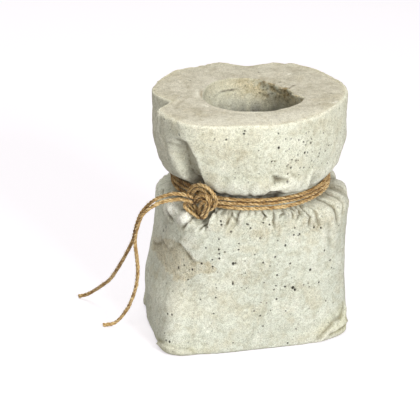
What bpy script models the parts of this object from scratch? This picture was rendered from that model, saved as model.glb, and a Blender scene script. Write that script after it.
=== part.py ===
"""A tied-sack casting: one lump of plaster cast in a cloth sack that was tied
round its middle, with a round pocket in its flat top and a length of jute
twine wound round the neck, knotted, with two free tails.

Lengths in the tables are millimetres, and MM turns them into metres.
Angles are degrees about the neck axis, counter-clockwise from +X; the front
of the sack faces -Y.
"""

import math

import bmesh
import bpy
import numpy as np

MM = 0.001

# ---- driving dimensions ----------------------------------------------------
HEIGHT = 168.0  # base to the flat top
AXIS_X, AXIS_Y = 1.931, -4.909  # neck axis from the middle of the footprint
NECK_RADIUS = 52.3  # bottom of the tied groove
NECK_LOW, NECK_HIGH = 103.4, 116.2  # the straight part of the groove

POCKET_X, POCKET_Y = 1.4, -0.5  # pocket centre from the neck axis
POCKET_RIM_RADIUS = 34.6
POCKET_FLOOR_RADIUS = 27.0
POCKET_DEPTH = 72.0

TWINE = 2.7  # diameter of the twine
GAP = 0.35  # clearance that neighbouring stretches keep
TURNS = 3
TURN_PITCH = 3.05
FIRST_TURN_Z = 105.55

KNOT_ANGLE = -136.5
KNOT_RADIUS = 61.4  # neck axis to the knot's middle
KNOT_Z = 110.3
KNOT_LOBE = 3.9  # a third of the knot's outer radius
KNOT_THICKNESS = 2.1  # how far the strands weave in and out

COLUMNS = 36  # cage columns round the casting

# Height, half width, half depth, squareness, centre x, centre y, share of the
# base outline, its scale, share of the rim outline, its scale.
SECTIONS = [
    (0.0, 64.0, 57.0, 3.6, -3.0, 8.0, 1.00, 0.972, 0.00, 0.970),
    (1.2, 66.0, 58.5, 3.6, -3.0, 8.0, 1.00, 0.990, 0.00, 0.970),
    (4.0, 67.5, 59.5, 3.6, -3.0, 8.0, 1.00, 0.998, 0.00, 0.970),
    (12.0, 68.5, 60.5, 3.5, -3.0, 8.0, 0.85, 1.000, 0.00, 0.970),
    (26.0, 69.0, 61.0, 3.3, -3.0, 7.8, 0.50, 1.000, 0.00, 0.970),
    (46.0, 65.9, 60.5, 3.1, -0.5, 7.0, 0.10, 1.000, 0.00, 0.970),
    (66.0, 64.6, 60.0, 3.0, 1.0, 6.0, 0.00, 1.000, 0.00, 0.970),
    (84.0, 64.3, 59.0, 3.1, 1.6, 5.0, 0.00, 1.000, 0.00, 0.970),
    (91.5, 64.3, 57.8, 3.0, 1.6, 4.0, 0.00, 1.000, 0.00, 0.970),
    (96.5, 63.1, 56.4, 2.8, 1.9, 3.2, 0.00, 1.000, 0.00, 0.970),
    (99.6, 59.6, 54.8, 2.5, 1.5, 2.2, 0.00, 1.000, 0.00, 0.970),
    (102.0, 54.2, 53.0, 2.1, 0.3, 0.5, 0.00, 1.000, 0.00, 0.970),
    (NECK_LOW, NECK_RADIUS, NECK_RADIUS, 2.0, 0.0, 0.0, 0.00, 1.000, 0.00, 0.970),
    (NECK_HIGH, NECK_RADIUS, NECK_RADIUS, 2.0, 0.0, 0.0, 0.00, 1.000, 0.00, 0.970),
    (117.7, 54.4, 54.4, 2.0, -0.8, 0.8, 0.00, 1.000, 0.00, 0.970),
    (119.7, 57.2, 57.2, 2.0, -1.8, 2.4, 0.00, 1.000, 0.05, 0.970),
    (123.0, 59.8, 59.6, 2.0, -2.4, 3.0, 0.00, 1.000, 0.15, 0.970),
    (129.0, 63.2, 62.3, 2.0, -2.7, 3.4, 0.00, 1.000, 0.32, 0.970),
    (141.0, 66.8, 65.3, 2.0, -1.8, 4.2, 0.00, 1.000, 0.60, 0.985),
    (154.0, 68.0, 66.9, 2.0, -1.0, 4.8, 0.00, 1.000, 0.85, 1.000),
    (165.8, 67.6, 67.5, 2.0, -0.4, 5.0, 0.00, 1.000, 1.00, 1.003),
    (HEIGHT - 0.7, 66.8, 66.8, 2.0, -0.4, 5.0, 0.00, 1.000, 1.00, 0.998),
    (HEIGHT, 65.8, 65.8, 2.0, -0.4, 5.0, 0.00, 1.000, 1.00, 0.985),
]

# Heights of the cage's rings, closer together where the form turns.
RING_HEIGHTS = [0.0, 1.6, 6.0, 16.0, 32.0, 52.0, 72.0, 86.0, 93.5, 98.0]
RING_HEIGHTS += [101.0, 102.8, 104.6, 108.0, 111.6, 115.2, 116.8, 119.0, 122.4]
RING_HEIGHTS += [129.0, 141.0, 154.0, 163.5, 166.9, HEIGHT]

# The rim's outline: angle, radius. The sack folded in at 180 degrees.
RIM_OUTLINE = [
    (-168, 69.8), (-162, 71.2), (-151, 72.6), (-139, 74.2), (-125, 69.3),
    (-110, 63.8), (-92, 63.2), (-77, 62.3), (-63, 60.9), (-45, 60.8),
    (-27, 62.3), (-8, 67.2), (6, 69.6), (17, 71.0), (32, 73.0), (49, 75.4),
    (60, 74.4), (70, 69.4), (78, 66.6), (86, 69.6), (95, 74.6), (106, 73.6),
    (119, 74.6), (136, 72.3), (148, 71.8), (155, 70.3), (165, 66.6),
    (173, 60.8), (180, 57.0), (186, 61.5),
]  # fmt: skip

# The base's outline, with the sack's two front corners standing out.
BASE_OUTLINE = [
    (-24.5, 70.8), (-34, 72.4), (-45.4, 67.8), (-58.3, 61.4), (-83.6, 53.9),
    (-110.5, 57.8), (-125.4, 66.2), (-136.5, 75.5), (-140.8, 81.4),
    (-146.2, 84.1), (-154.3, 80.4), (-169.9, 74.0), (167.4, 73.5),
    (149, 77.6), (135.5, 81.0), (121, 77.2), (105, 71.5), (90, 69.0),
    (75, 71.5), (62.6, 76.0), (48, 80.7), (36.3, 79.4), (20.3, 72.0),
    (0, 67.6), (-12.7, 68.2),
]  # fmt: skip

# The tails' routes from the neck axis and the floor: out of the knot to the
# left, over the shoulder, down beside the sack and onto the floor.
LONG_TAIL_ROUTE = [
    (-58.6, -40.1, 115.6), (-64.7, -39.0, 115.7), (-69.7, -36.8, 113.7),
    (-74.4, -33.6, 110.5), (-78.7, -29.6, 105.3), (-82.7, -25.0, 97.6),
    (-85.1, -19.9, 86.7), (-86.0, -14.5, 75.7), (-87.3, -10.1, 68.9),
    (-91.0, 2.0, 52.5), (-95.4, 23.6, 30.3), (-99.4, 36.8, 19.5),
    (-102.7, 47.3, 11.6), (-106.9, 56.0, 4.9), (-112.5, 60.9, TWINE / 2 + 0.15),
]  # fmt: skip
SHORT_TAIL_ROUTE = [
    (-59.6, -41.5, 112.3), (-65.1, -40.9, 112.0), (-70.4, -39.7, 110.9),
    (-75.1, -37.6, 108.4), (-79.3, -34.0, 104.0), (-82.9, -29.6, 98.0),
    (-84.9, -24.0, 87.9), (-85.9, -19.2, 77.6), (-85.7, -17.7, 72.6),
    (-84.6, -16.4, 64.4), (-83.5, -14.6, 54.5), (-83.3, -12.1, 44.7),
    (-84.2, -8.3, 34.0), (-87.2, -2.5, 20.4), (-90.4, 1.9, 11.9),
    (-93.7, 5.2, 5.9), (-97.8, 7.2, 2.3), (-104.4, 8.2, TWINE / 2 + 0.15),
]  # fmt: skip
TAIL_STEP = 7.0  # spacing of the points along a tail


# ---- curves through tables ---------------------------------------------------
def hermite(knots, values, slopes, x):
    """Cubic curve through the values at the knots, with the slopes given."""
    x = np.clip(np.asarray(x, float), knots[0], knots[-1])
    i = np.clip(np.searchsorted(knots, x, side="right") - 1, 0, len(knots) - 2)
    h = knots[i + 1] - knots[i]
    t = ((x - knots[i]) / h)[..., None]
    h = h[..., None]
    return (
        (2 * t**3 - 3 * t**2 + 1) * values[i]
        + (t**3 - 2 * t**2 + t) * h * slopes[i]
        + (3 * t**2 - 2 * t**3) * values[i + 1]
        + (t**3 - t**2) * h * slopes[i + 1]
    )


def monotone_slopes(x, y):
    """Slopes that never overshoot between two rows of a table."""
    h = np.diff(x)
    d = np.diff(y, axis=0) / h[:, None]
    m = np.zeros_like(y)
    for i in range(1, len(x) - 1):
        w1, w2 = 2 * h[i] + h[i - 1], h[i] + 2 * h[i - 1]
        same = d[i - 1] * d[i] > 0
        a = np.where(same, d[i - 1], 1.0)
        b = np.where(same, d[i], 1.0)
        m[i] = np.where(same, (w1 + w2) / (w1 / a + w2 / b), 0.0)
    m[0], m[-1] = d[0], d[-1]
    return m


def outline(table):
    """A closed outline's radius as a function of the angle in radians."""
    rows = sorted(((a + 360) % 360, r) for a, r in table)
    deg = np.array([a for a, _ in rows])
    rad = np.array([r for _, r in rows])
    deg = np.concatenate([deg[-3:] - 360, deg, deg[:3] + 360])
    rad = np.concatenate([rad[-3:], rad, rad[:3]])
    slopes = np.gradient(rad, deg)[:, None]
    return lambda angle: hermite(
        deg, rad[:, None], slopes, np.degrees(angle) % 360
    )[..., 0]


SECTION_Z = np.array([row[0] for row in SECTIONS])
SECTION_V = np.array([row[1:] for row in SECTIONS])
SECTION_M = monotone_slopes(SECTION_Z, SECTION_V)
rim_radius = outline(RIM_OUTLINE)
base_radius = outline(BASE_OUTLINE)


def hollow_limit(angle, z):
    """The sack is pressed in round the knot: the farthest it may reach there."""
    turn = (np.degrees(angle) - KNOT_ANGLE + 180) % 360 - 180
    across = np.radians(turn) * 60.0
    return 55.6 + 0.030 * (across**2 + (z - KNOT_Z) ** 2)


def sack_point(angle, z):
    """A point of the sack's skin, from the neck axis, in millimetres."""
    rows = hermite(SECTION_Z, SECTION_V, SECTION_M, z)
    a, b, n, cx, cy, w_base, k_base, w_rim, k_rim = (rows[..., k] for k in range(9))
    c, s = np.cos(angle), np.sin(angle)
    r = (np.abs(c / a) ** n + np.abs(s / b) ** n) ** (-1 / n)
    edge = w_base * base_radius(angle) * k_base + w_rim * rim_radius(angle) * k_rim
    own = 1 - w_base - w_rim
    x = own * (cx + r * c) + edge * c
    y = own * (cy + r * s) + edge * s
    far = np.hypot(x, y)
    limit = hollow_limit(np.arctan2(y, x), z)
    near = far - np.logaddexp(0.0, (far - limit) * 1.2) / 1.2
    near = np.where(limit - far > 8, far, near)
    return np.stack([x * near / far, y * near / far, z + 0 * x], -1)


def smooth_route(points, step):
    """Evenly spaced points on a smooth curve through the route's points."""
    p = np.asarray(points, float)
    q = np.vstack([2 * p[0] - p[1], p, 2 * p[-1] - p[-2]])
    fine = []
    for i in range(1, len(q) - 2):
        a, b, c, d = q[i - 1 : i + 3]
        t = np.linspace(0, 1, 24, endpoint=False)[:, None]
        fine.append(
            0.5
            * (
                2 * b
                + (c - a) * t
                + (2 * a - 5 * b + 4 * c - d) * t**2
                + (3 * b - a - 3 * c + d) * t**3
            )
        )
    fine = np.vstack(fine + [p[-1:]])
    run = np.concatenate([[0], np.cumsum(np.linalg.norm(np.diff(fine, axis=0), axis=1))])
    count = max(4, round(run[-1] / step) + 1)
    at = np.linspace(0, run[-1], count)
    return np.stack([np.interp(at, run, fine[:, k]) for k in range(3)], -1)


# ---- objects -----------------------------------------------------------------
for old in list(bpy.data.objects):
    bpy.data.objects.remove(old, do_unlink=True)

parts = bpy.data.collections.new("tied_sack_casting")
cutters = bpy.data.collections.new("cutters")
bpy.context.scene.collection.children.link(parts)
bpy.context.scene.collection.children.link(cutters)


def material(name, colour, roughness, metallic=0.0):
    m = bpy.data.materials.new(name)
    m.use_nodes = True
    shader = m.node_tree.nodes["Principled BSDF"]
    shader.inputs["Base Color"].default_value = (*colour, 1)
    shader.inputs["Roughness"].default_value = roughness
    shader.inputs["Metallic"].default_value = metallic
    m.diffuse_color = (*colour, 1)
    return m


def sack_cage():
    """Rings of the sack's skin lofted from the base to the rim."""
    bm = bmesh.new()
    angles = np.radians(np.arange(COLUMNS) * 360.0 / COLUMNS)
    rings = []

    def ring(points):
        rings.append([bm.verts.new(p * MM) for p in points])

    floor = sack_point(angles, np.zeros(COLUMNS))
    middle = floor.mean(axis=0)
    for share in (0.35, 0.70, 0.93):
        ring(middle + (floor - middle) * share)
    for z in RING_HEIGHTS:
        ring(sack_point(angles, np.full(COLUMNS, z)))
    top = sack_point(angles, np.full(COLUMNS, HEIGHT))
    middle = np.array([POCKET_X, POCKET_Y, HEIGHT])
    for share in (0.96, 0.72, 0.30):
        ring(middle + (top - middle) * share)
    for low, high in zip(rings, rings[1:]):
        for i in range(COLUMNS):
            j = (i + 1) % COLUMNS
            bm.faces.new((low[i], low[j], high[j], high[i]))
    bm.faces.new(list(reversed(rings[0])))
    bm.faces.new(rings[-1])
    bm.normal_update()
    mesh = bpy.data.meshes.new("cast_body")
    bm.to_mesh(mesh)
    bm.free()
    return mesh


body = bpy.data.objects.new("cast_body", sack_cage())
body.location = (AXIS_X * MM, AXIS_Y * MM, 0)
body.data.materials.append(material("cast_plaster", (0.66, 0.65, 0.57), 0.85))
parts.objects.link(body)
smooth = body.modifiers.new("sack_skin", "SUBSURF")
smooth.levels = smooth.render_levels = 1

# The pocket's cutter: a turned cup with a rounded floor edge.
profile = [(0.0, HEIGHT + 6)]
slope = (POCKET_RIM_RADIUS - POCKET_FLOOR_RADIUS) / POCKET_DEPTH
profile += [(POCKET_RIM_RADIUS + slope * 6, HEIGHT + 6)]
floor_z = HEIGHT - POCKET_DEPTH
edge = 4.0  # radius of the floor's edge
for k in range(5):
    turn = math.radians(90 * k / 4)
    profile.append(
        (
            POCKET_FLOOR_RADIUS + slope * edge - edge * (1 - math.cos(turn)),
            floor_z + edge * (1 - math.sin(turn)),
        )
    )
profile.append((0.0, floor_z))
mesh = bpy.data.meshes.new("pocket_cutter")
mesh.from_pydata(
    [(r * MM, 0, z * MM) for r, z in profile],
    [(i, i + 1) for i in range(len(profile) - 1)],
    [],
)
pocket = bpy.data.objects.new("pocket_cutter", mesh)
pocket.location = ((AXIS_X + POCKET_X) * MM, (AXIS_Y + POCKET_Y) * MM, 0)
cutters.objects.link(pocket)
turned = pocket.modifiers.new("turned", "SCREW")
turned.steps = turned.render_steps = 48
turned.use_merge_vertices = True
turned.merge_threshold = 0.00005
pocket.hide_render = True
pocket.display_type = "WIRE"

cut = body.modifiers.new("pocket", "BOOLEAN")
cut.operation = "DIFFERENCE"
cut.solver = "EXACT"
cut.object = pocket

jute = material("jute_twine", (0.42, 0.27, 0.12), 0.9)


def twine(name, points, closed=False):
    """A length of twine along the points, in millimetres from the neck axis."""
    curve = bpy.data.curves.new(name, "CURVE")
    curve.dimensions = "3D"
    curve.bevel_depth = TWINE / 2 * MM
    curve.bevel_resolution = 2
    curve.use_fill_caps = True
    spline = curve.splines.new("POLY")
    spline.points.add(len(points) - 1)
    for p, co in zip(spline.points, points):
        p.co = (*(np.asarray(co) * MM), 1)
    spline.use_cyclic_u = closed
    obj = bpy.data.objects.new(name, curve)
    obj.location = (AXIS_X * MM, AXIS_Y * MM, 0)
    curve.materials.append(jute)
    parts.objects.link(obj)
    return obj


# The turns round the neck climb by one pitch a turn and pass under the knot.
turn_radius = NECK_RADIUS + TWINE / 2 + GAP
count = 26 * TURNS
start = math.radians(KNOT_ANGLE) + 0.05
sweep = 2 * math.pi * TURNS - 0.10
turns = []
for k in range(count + 1):
    share = k / count
    angle = start + sweep * share
    climb = FIRST_TURN_Z + TURN_PITCH * TURNS * share
    turns.append((turn_radius * math.cos(angle), turn_radius * math.sin(angle), climb))
twine("twine_turns", turns)

# The knot: a strand woven over and under itself in three lobes, cupped so
# that its upper and lower lobes clear the sack.
out = np.array([math.cos(math.radians(KNOT_ANGLE)), math.sin(math.radians(KNOT_ANGLE)), 0])
side = np.array([-out[1], out[0], 0])
up = np.array([0, 0, 1.0])
knot = []
for k in range(48):
    t = 2 * math.pi * k / 48
    u = KNOT_LOBE * (math.sin(t) + 2 * math.sin(2 * t))
    v = KNOT_LOBE * (math.cos(t) - 2 * math.cos(2 * t))
    w = -KNOT_THICKNESS * math.sin(3 * t) + 0.016 * v * v + 0.008 * u * u
    knot.append(out * (KNOT_RADIUS + w) + side * u + up * (KNOT_Z + v))
twine("twine_knot", knot, closed=True)

twine("twine_tail_long", smooth_route(LONG_TAIL_ROUTE, TAIL_STEP))
twine("twine_tail_short", smooth_route(SHORT_TAIL_ROUTE, TAIL_STEP))
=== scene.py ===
"""Looks for the tied-sack casting: the plaster skin, the jute twine and its knot.

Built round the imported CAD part. Lengths inside the builders are millimetres
from the neck axis, and to_world() turns them into the part's metres.
"""

import math

import bmesh
import bpy
import numpy as np
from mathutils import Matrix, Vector


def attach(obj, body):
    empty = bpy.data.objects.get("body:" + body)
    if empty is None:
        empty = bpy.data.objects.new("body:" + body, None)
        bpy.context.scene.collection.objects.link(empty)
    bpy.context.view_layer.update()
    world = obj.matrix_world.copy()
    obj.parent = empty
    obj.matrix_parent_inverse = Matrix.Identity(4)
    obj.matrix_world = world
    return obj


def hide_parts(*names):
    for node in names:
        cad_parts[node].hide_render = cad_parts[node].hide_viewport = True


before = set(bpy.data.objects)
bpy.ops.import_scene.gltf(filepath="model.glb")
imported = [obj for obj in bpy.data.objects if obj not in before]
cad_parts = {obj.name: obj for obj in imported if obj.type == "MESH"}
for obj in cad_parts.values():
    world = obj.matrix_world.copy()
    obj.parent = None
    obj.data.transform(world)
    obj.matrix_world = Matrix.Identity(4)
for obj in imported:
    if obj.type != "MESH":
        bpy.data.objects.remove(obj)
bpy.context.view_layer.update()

MM = 0.001
AXIS = np.array([1.931, -4.909, 0.0])  # neck axis in the part's frame, mm
HEIGHT = 168.0
NECK = 52.3
NECK_LOW, NECK_HIGH = 103.4, 116.2
POCKET = np.array([1.4, -0.5])
POCKET_RIM, POCKET_FLOOR, POCKET_DEPTH = 34.6, 27.0, 72.0
TWINE = 2.7
KNOT_ANGLE, KNOT_Z = -136.5, 110.3


def to_world(p):
    return (np.asarray(p, float) + AXIS) * MM


# ============================================================ camera
scene = bpy.context.scene
cam_data = bpy.data.cameras.new("camera")
cam = bpy.data.objects.new("camera", cam_data)
scene.collection.objects.link(cam)
cam_data.lens = 195.92
cam_data.sensor_width = 36.0
cam_data.clip_start = 0.05
cam_data.clip_end = 50.0
cam_at = Vector(to_world([-360.99, -1439.18, 682.28]))
cam_to = Vector(to_world([-27.27, 6.30, 82.91]))
cam.location = cam_at
cam.rotation_euler = (cam_to - cam_at).to_track_quat("-Z", "Y").to_euler()
scene.camera = cam


# ============================================================ numbers
def rng(seed):
    return np.random.default_rng(seed)


_TABLE = rng(11).random(4096) * 2 - 1
_PERM = rng(12).permutation(4096)


def _corner(ix, iy, iz):
    return _TABLE[_PERM[(_PERM[(_PERM[ix & 4095] + iy) & 4095] + iz) & 4095]]


def noise(p, size, seed=0):
    """Smooth value noise from -1 to 1, with features of about size mm."""
    q = np.asarray(p, float) / size + seed * 17.31 + 1000.0
    i = np.floor(q).astype(np.int64)
    f = q - i
    f = f * f * f * (f * (f * 6 - 15) + 10)
    x, y, z = i[..., 0], i[..., 1], i[..., 2]
    fx, fy, fz = f[..., 0], f[..., 1], f[..., 2]
    a = _corner(x, y, z) * (1 - fx) + _corner(x + 1, y, z) * fx
    b = _corner(x, y + 1, z) * (1 - fx) + _corner(x + 1, y + 1, z) * fx
    c = _corner(x, y, z + 1) * (1 - fx) + _corner(x + 1, y, z + 1) * fx
    d = _corner(x, y + 1, z + 1) * (1 - fx) + _corner(x + 1, y + 1, z + 1) * fx
    return (a * (1 - fy) + b * fy) * (1 - fz) + (c * (1 - fy) + d * fy) * fz


def fbm(p, size, octaves=4, seed=0, gain=0.5):
    total, amp, norm = 0.0, 1.0, 0.0
    for k in range(octaves):
        total = total + amp * noise(p, size / 2**k, seed + k * 3)
        norm += amp
        amp *= gain
    return total / norm


def step01(x, a, b):
    """0 at a, 1 at b, smooth between. b may be less than a."""
    t = np.clip((np.asarray(x, float) - a) / (b - a), 0, 1)
    return t * t * (3 - 2 * t)


def bump_at(d2, r):
    """A smooth bump of radius about r from squared distance."""
    return np.exp(-d2 / (2 * r * r))


def hermite(knots, values, slopes, x):
    x = np.clip(np.asarray(x, float), knots[0], knots[-1])
    i = np.clip(np.searchsorted(knots, x, side="right") - 1, 0, len(knots) - 2)
    h = knots[i + 1] - knots[i]
    t = ((x - knots[i]) / h)[..., None]
    h = h[..., None]
    return (
        (2 * t**3 - 3 * t**2 + 1) * values[i]
        + (t**3 - 2 * t**2 + t) * h * slopes[i]
        + (3 * t**2 - 2 * t**3) * values[i + 1]
        + (t**3 - t**2) * h * slopes[i + 1]
    )


def monotone_slopes(x, y):
    h = np.diff(x)
    d = np.diff(y, axis=0) / h[:, None]
    m = np.zeros_like(y)
    for i in range(1, len(x) - 1):
        w1, w2 = 2 * h[i] + h[i - 1], h[i] + 2 * h[i - 1]
        same = d[i - 1] * d[i] > 0
        a = np.where(same, d[i - 1], 1.0)
        b = np.where(same, d[i], 1.0)
        m[i] = np.where(same, (w1 + w2) / (w1 / a + w2 / b), 0.0)
    m[0], m[-1] = d[0], d[-1]
    return m


def outline(table):
    rows = sorted(((a + 360) % 360, r) for a, r in table)
    deg = np.array([a for a, _ in rows], float)
    rad = np.array([r for _, r in rows], float)
    deg = np.concatenate([deg[-3:] - 360, deg, deg[:3] + 360])
    rad = np.concatenate([rad[-3:], rad, rad[:3]])
    slopes = np.gradient(rad, deg)[:, None]
    return lambda a: hermite(deg, rad[:, None], slopes, np.degrees(a) % 360)[..., 0]


def turn_from(angle, centre_deg):
    """Signed difference in degrees."""
    return (np.degrees(angle) - centre_deg + 180) % 360 - 180


# ============================================================ twine
LAY = 9.5  # mm of twine in which a ply goes once round


def smooth_route(points, step, closed=False):
    """Evenly spaced points on a smooth curve through the route's points."""
    p = np.asarray(points, float)
    if closed:
        q = np.vstack([p[-1:], p, p[:2]])
    else:
        q = np.vstack([2 * p[0] - p[1], p, 2 * p[-1] - p[-2]])
    fine = []
    for i in range(1, len(q) - 2):
        a, b, c, d = q[i - 1 : i + 3]
        t = np.linspace(0, 1, 24, endpoint=False)[:, None]
        fine.append(
            0.5
            * (
                2 * b
                + (c - a) * t
                + (2 * a - 5 * b + 4 * c - d) * t**2
                + (3 * b - a - 3 * c + d) * t**3
            )
        )
    fine = np.vstack(fine + [q[-2:-1]])
    run = np.concatenate([[0], np.cumsum(np.linalg.norm(np.diff(fine, axis=0), axis=1))])
    at = np.linspace(0, run[-1], max(4, round(run[-1] / step) + 1))
    return np.stack([np.interp(at, run, fine[:, k]) for k in range(3)], -1)


def run_length(points):
    return float(np.linalg.norm(np.diff(points, axis=0), axis=1).sum())


def frames(points, start=(0.0, 0.0, 1.0)):
    """Unit tangents and two crosswise directions that don't spin along the line."""
    t = np.gradient(points, axis=0)
    t /= np.linalg.norm(t, axis=1)[:, None]
    u = np.zeros_like(t)
    v = np.asarray(start, float)
    if abs(v @ t[0]) > 0.9:
        v = np.array([1.0, 0.0, 0.0])
    for i in range(len(t)):
        v = v - (v @ t[i]) * t[i]
        v /= np.linalg.norm(v)
        u[i] = v
    return t, u, np.cross(t, u)


LINES = []  # every laid twine's middle: points, and the length up to each


class Soup:
    """Faces gathered for one mesh, with a tone value (which also holds painted shade and highlight) and a streak value
    at each point.
    """

    def __init__(self):
        self.co, self.faces, self.shade, self.streak = [], [], [], []
        self.owner, self.at, self.fibre = [], [], []
        self.n = 0

    def tube(self, points, radii, sides, shade, streak, start=(0.0, 0.0, 1.0), wobble=None, axis=None, at=0.0):
        """A closed tube along the points. wobble is a radius factor for each point and side,
        and axis is the middle of the twine it is a ply of, where it is darkest."""
        t, u, v = frames(points, start)
        a = np.arange(sides) * 2 * math.pi / sides
        r = np.broadcast_to(np.asarray(radii, float), (len(points),))[:, None]
        r = r * (1.0 if wobble is None else wobble)
        ring = (
            points[:, None]
            + (r * np.cos(a))[..., None] * u[:, None]
            + (r * np.sin(a))[..., None] * v[:, None]
        )
        n, k = len(points), np.arange(sides)
        shade = np.reshape(shade, (-1, 1)) if np.ndim(shade) == 1 else shade
        shade = np.broadcast_to(shade, (n, sides))
        # painted shade in the crevices between plies, and a painted highlight on their crests
        if axis is not None:
            shade = shade * (0.30 + 0.82 * step01(np.linalg.norm(ring - axis[:, None], axis=-1), 0.55, 1.28))
        base = self.n
        lo = (np.arange(n - 1)[:, None] * sides + k).ravel()
        lo2 = (np.arange(n - 1)[:, None] * sides + (k + 1) % sides).ravel()
        quads = np.stack([lo, lo2, lo2 + sides, lo + sides], -1) + base
        self.faces += quads.tolist()
        self.faces.append([base + int(i) for i in k[::-1]])
        self.faces.append([base + (n - 1) * sides + int(i) for i in k])
        self.co.append(ring.reshape(-1, 3))
        self.shade.append(shade.ravel())
        self.streak.append(np.full(n * sides, float(streak)))
        self.owner.append(np.full(n * sides, len(LINES) - 1))
        self.at.append(np.repeat(np.broadcast_to(at, (n,)), sides))
        # Fibres run slantwise round the tube: long along it, fine across it.
        far = np.concatenate([[0], np.cumsum(np.linalg.norm(np.diff(points, axis=0), axis=1))])[:, None]
        slant = a[None] + far * 0.55
        mean_r = float(np.mean(r))
        ring_at = np.stack([far * 0.11 + 0 * slant, mean_r * np.cos(slant), mean_r * np.sin(slant)], -1)
        self.fibre.append(ring_at.reshape(-1, 3) + np.array([7.3 * (len(self.co) % 97), 0, 0]))
        self.n += n * sides

    def build(self, name, material, under=None):
        co = np.vstack(self.co)
        shade = np.concatenate(self.shade)
        owner, at = np.concatenate(self.owner), np.concatenate(self.at)
        # Painted shade: darker where another strand lies close by.
        near = np.full(len(co), 9.0)
        for k, (points, along) in enumerate(LINES):
            points, along = points[::2], along[::2]
            for lo in range(0, len(co), 1500):
                cut = slice(lo, lo + 1500)
                d = np.sqrt(((co[cut][:, None] - points[None]) ** 2).sum(axis=-1))
                own = (owner[cut] == k)[:, None] & (np.abs(at[cut][:, None] - along[None]) < 7.0)
                d[own] = 9.0
                near[cut] = np.minimum(near[cut], d.min(axis=1))
        shade = shade * (0.12 + 0.88 * step01(near, 1.25, 2.55))
        # painted shade passed in by the caller
        if under is not None:
            shade = shade * under(co)
        co[:, 2] = np.maximum(co[:, 2], 0.02)
        mesh = bpy.data.meshes.new(name)
        mesh.from_pydata(to_world(co).tolist(), [], self.faces)
        for label, values in (("shade", shade), ("streak", np.concatenate(self.streak))):
            data = values.astype(np.float32)
            mesh.attributes.new(label, "FLOAT", "POINT").data.foreach_set("value", data)
        fibre = np.vstack(self.fibre).astype(np.float32)
        mesh.attributes.new("fibre", "FLOAT_VECTOR", "POINT").data.foreach_set("vector", fibre.ravel())
        mesh.shade_smooth()
        mesh.materials.append(material)
        obj = bpy.data.objects.new(name, mesh)
        scene.collection.objects.link(obj)
        return obj


def lay_twine(soup, points, seed, plies=3, sides=8, fuzz=0.9, taper=None, tone=1.0):
    """Twisted plies along the points (0.65 mm apart), and loose fibres standing off them."""
    random = rng(seed)
    points = np.asarray(points, float)
    n = len(points)
    along = np.concatenate([[0], np.cumsum(np.linalg.norm(np.diff(points, axis=0), axis=1))])
    LINES.append((points, along))
    t, u, v = frames(points)
    swell = 1 + 0.07 * noise(np.stack([along, 0 * along, 0 * along], -1), 7.0, seed)
    swell = swell + 0.04 * noise(np.stack([along, 0 * along, 0 * along], -1), 2.2, seed + 1)
    if taper is not None:
        swell = swell * taper(along / along[-1])
    turn = 2 * math.pi * along / LAY + 0.5 * noise(np.stack([along, 0 * along, 0 * along], -1), 16.0, seed + 2)
    for ply in range(plies):
        a = turn + 2 * math.pi * ply / plies
        off = 0.66 * swell
        centre = points + (off * np.cos(a))[:, None] * u + (off * np.sin(a))[:, None] * v
        # The fibres of a ply run slantwise, so the ridges drift round the tube.
        ring = np.arange(sides) * 2 * math.pi / sides
        grain = 0.09 * np.sin(4 * ring[None] - 2 * a[:, None] * 1.7 + ply)
        grain = grain + 0.08 * random.standard_normal((n, sides)).cumsum(axis=0) / np.sqrt(np.arange(1, n + 1))[:, None]
        grain = grain + 0.05 * random.standard_normal((n, sides))
        # Tones drift along each side, as bundles of fibres do.
        bundle = np.stack([np.broadcast_to(along[:, None], (n, sides)), np.broadcast_to(ring * 9.0 + ply * 40, (n, sides)), np.zeros((n, sides))], -1)
        tones = tone * (1 + 0.62 * noise(bundle, 2.4, seed + 5) + 0.16 * random.standard_normal((n, sides)))
        soup.tube(centre, 0.70 * swell, sides, tones, random.random(), wobble=1 + grain, axis=points, at=along)
    # loose fibres
    for _ in range(int(fuzz * along[-1])):
        at = random.integers(2, n - 3)
        a = random.random() * 2 * math.pi
        out = math.cos(a) * u[at] + math.sin(a) * v[at]
        around = -math.sin(a) * u[at] + math.cos(a) * v[at]
        lie = random.normal() * 0.8 * t[at] + random.normal() * 0.5 * around
        reach = min(abs(random.normal()) * 1.1 + 0.5, 1.9)
        q = np.linspace(0, 1, 5)[:, None]
        path = (
            points[at]
            + out * (1.15 + reach * 0.55 * np.sin(q * 2.0))
            + lie * reach * q
            + random.standard_normal((5, 3)) * 0.06 * q
        )
        soup.tube(path, np.array([0.08, 0.075, 0.065, 0.05, 0.02]), 3, 1.3 * tone, random.random(), at=along[at])


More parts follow.
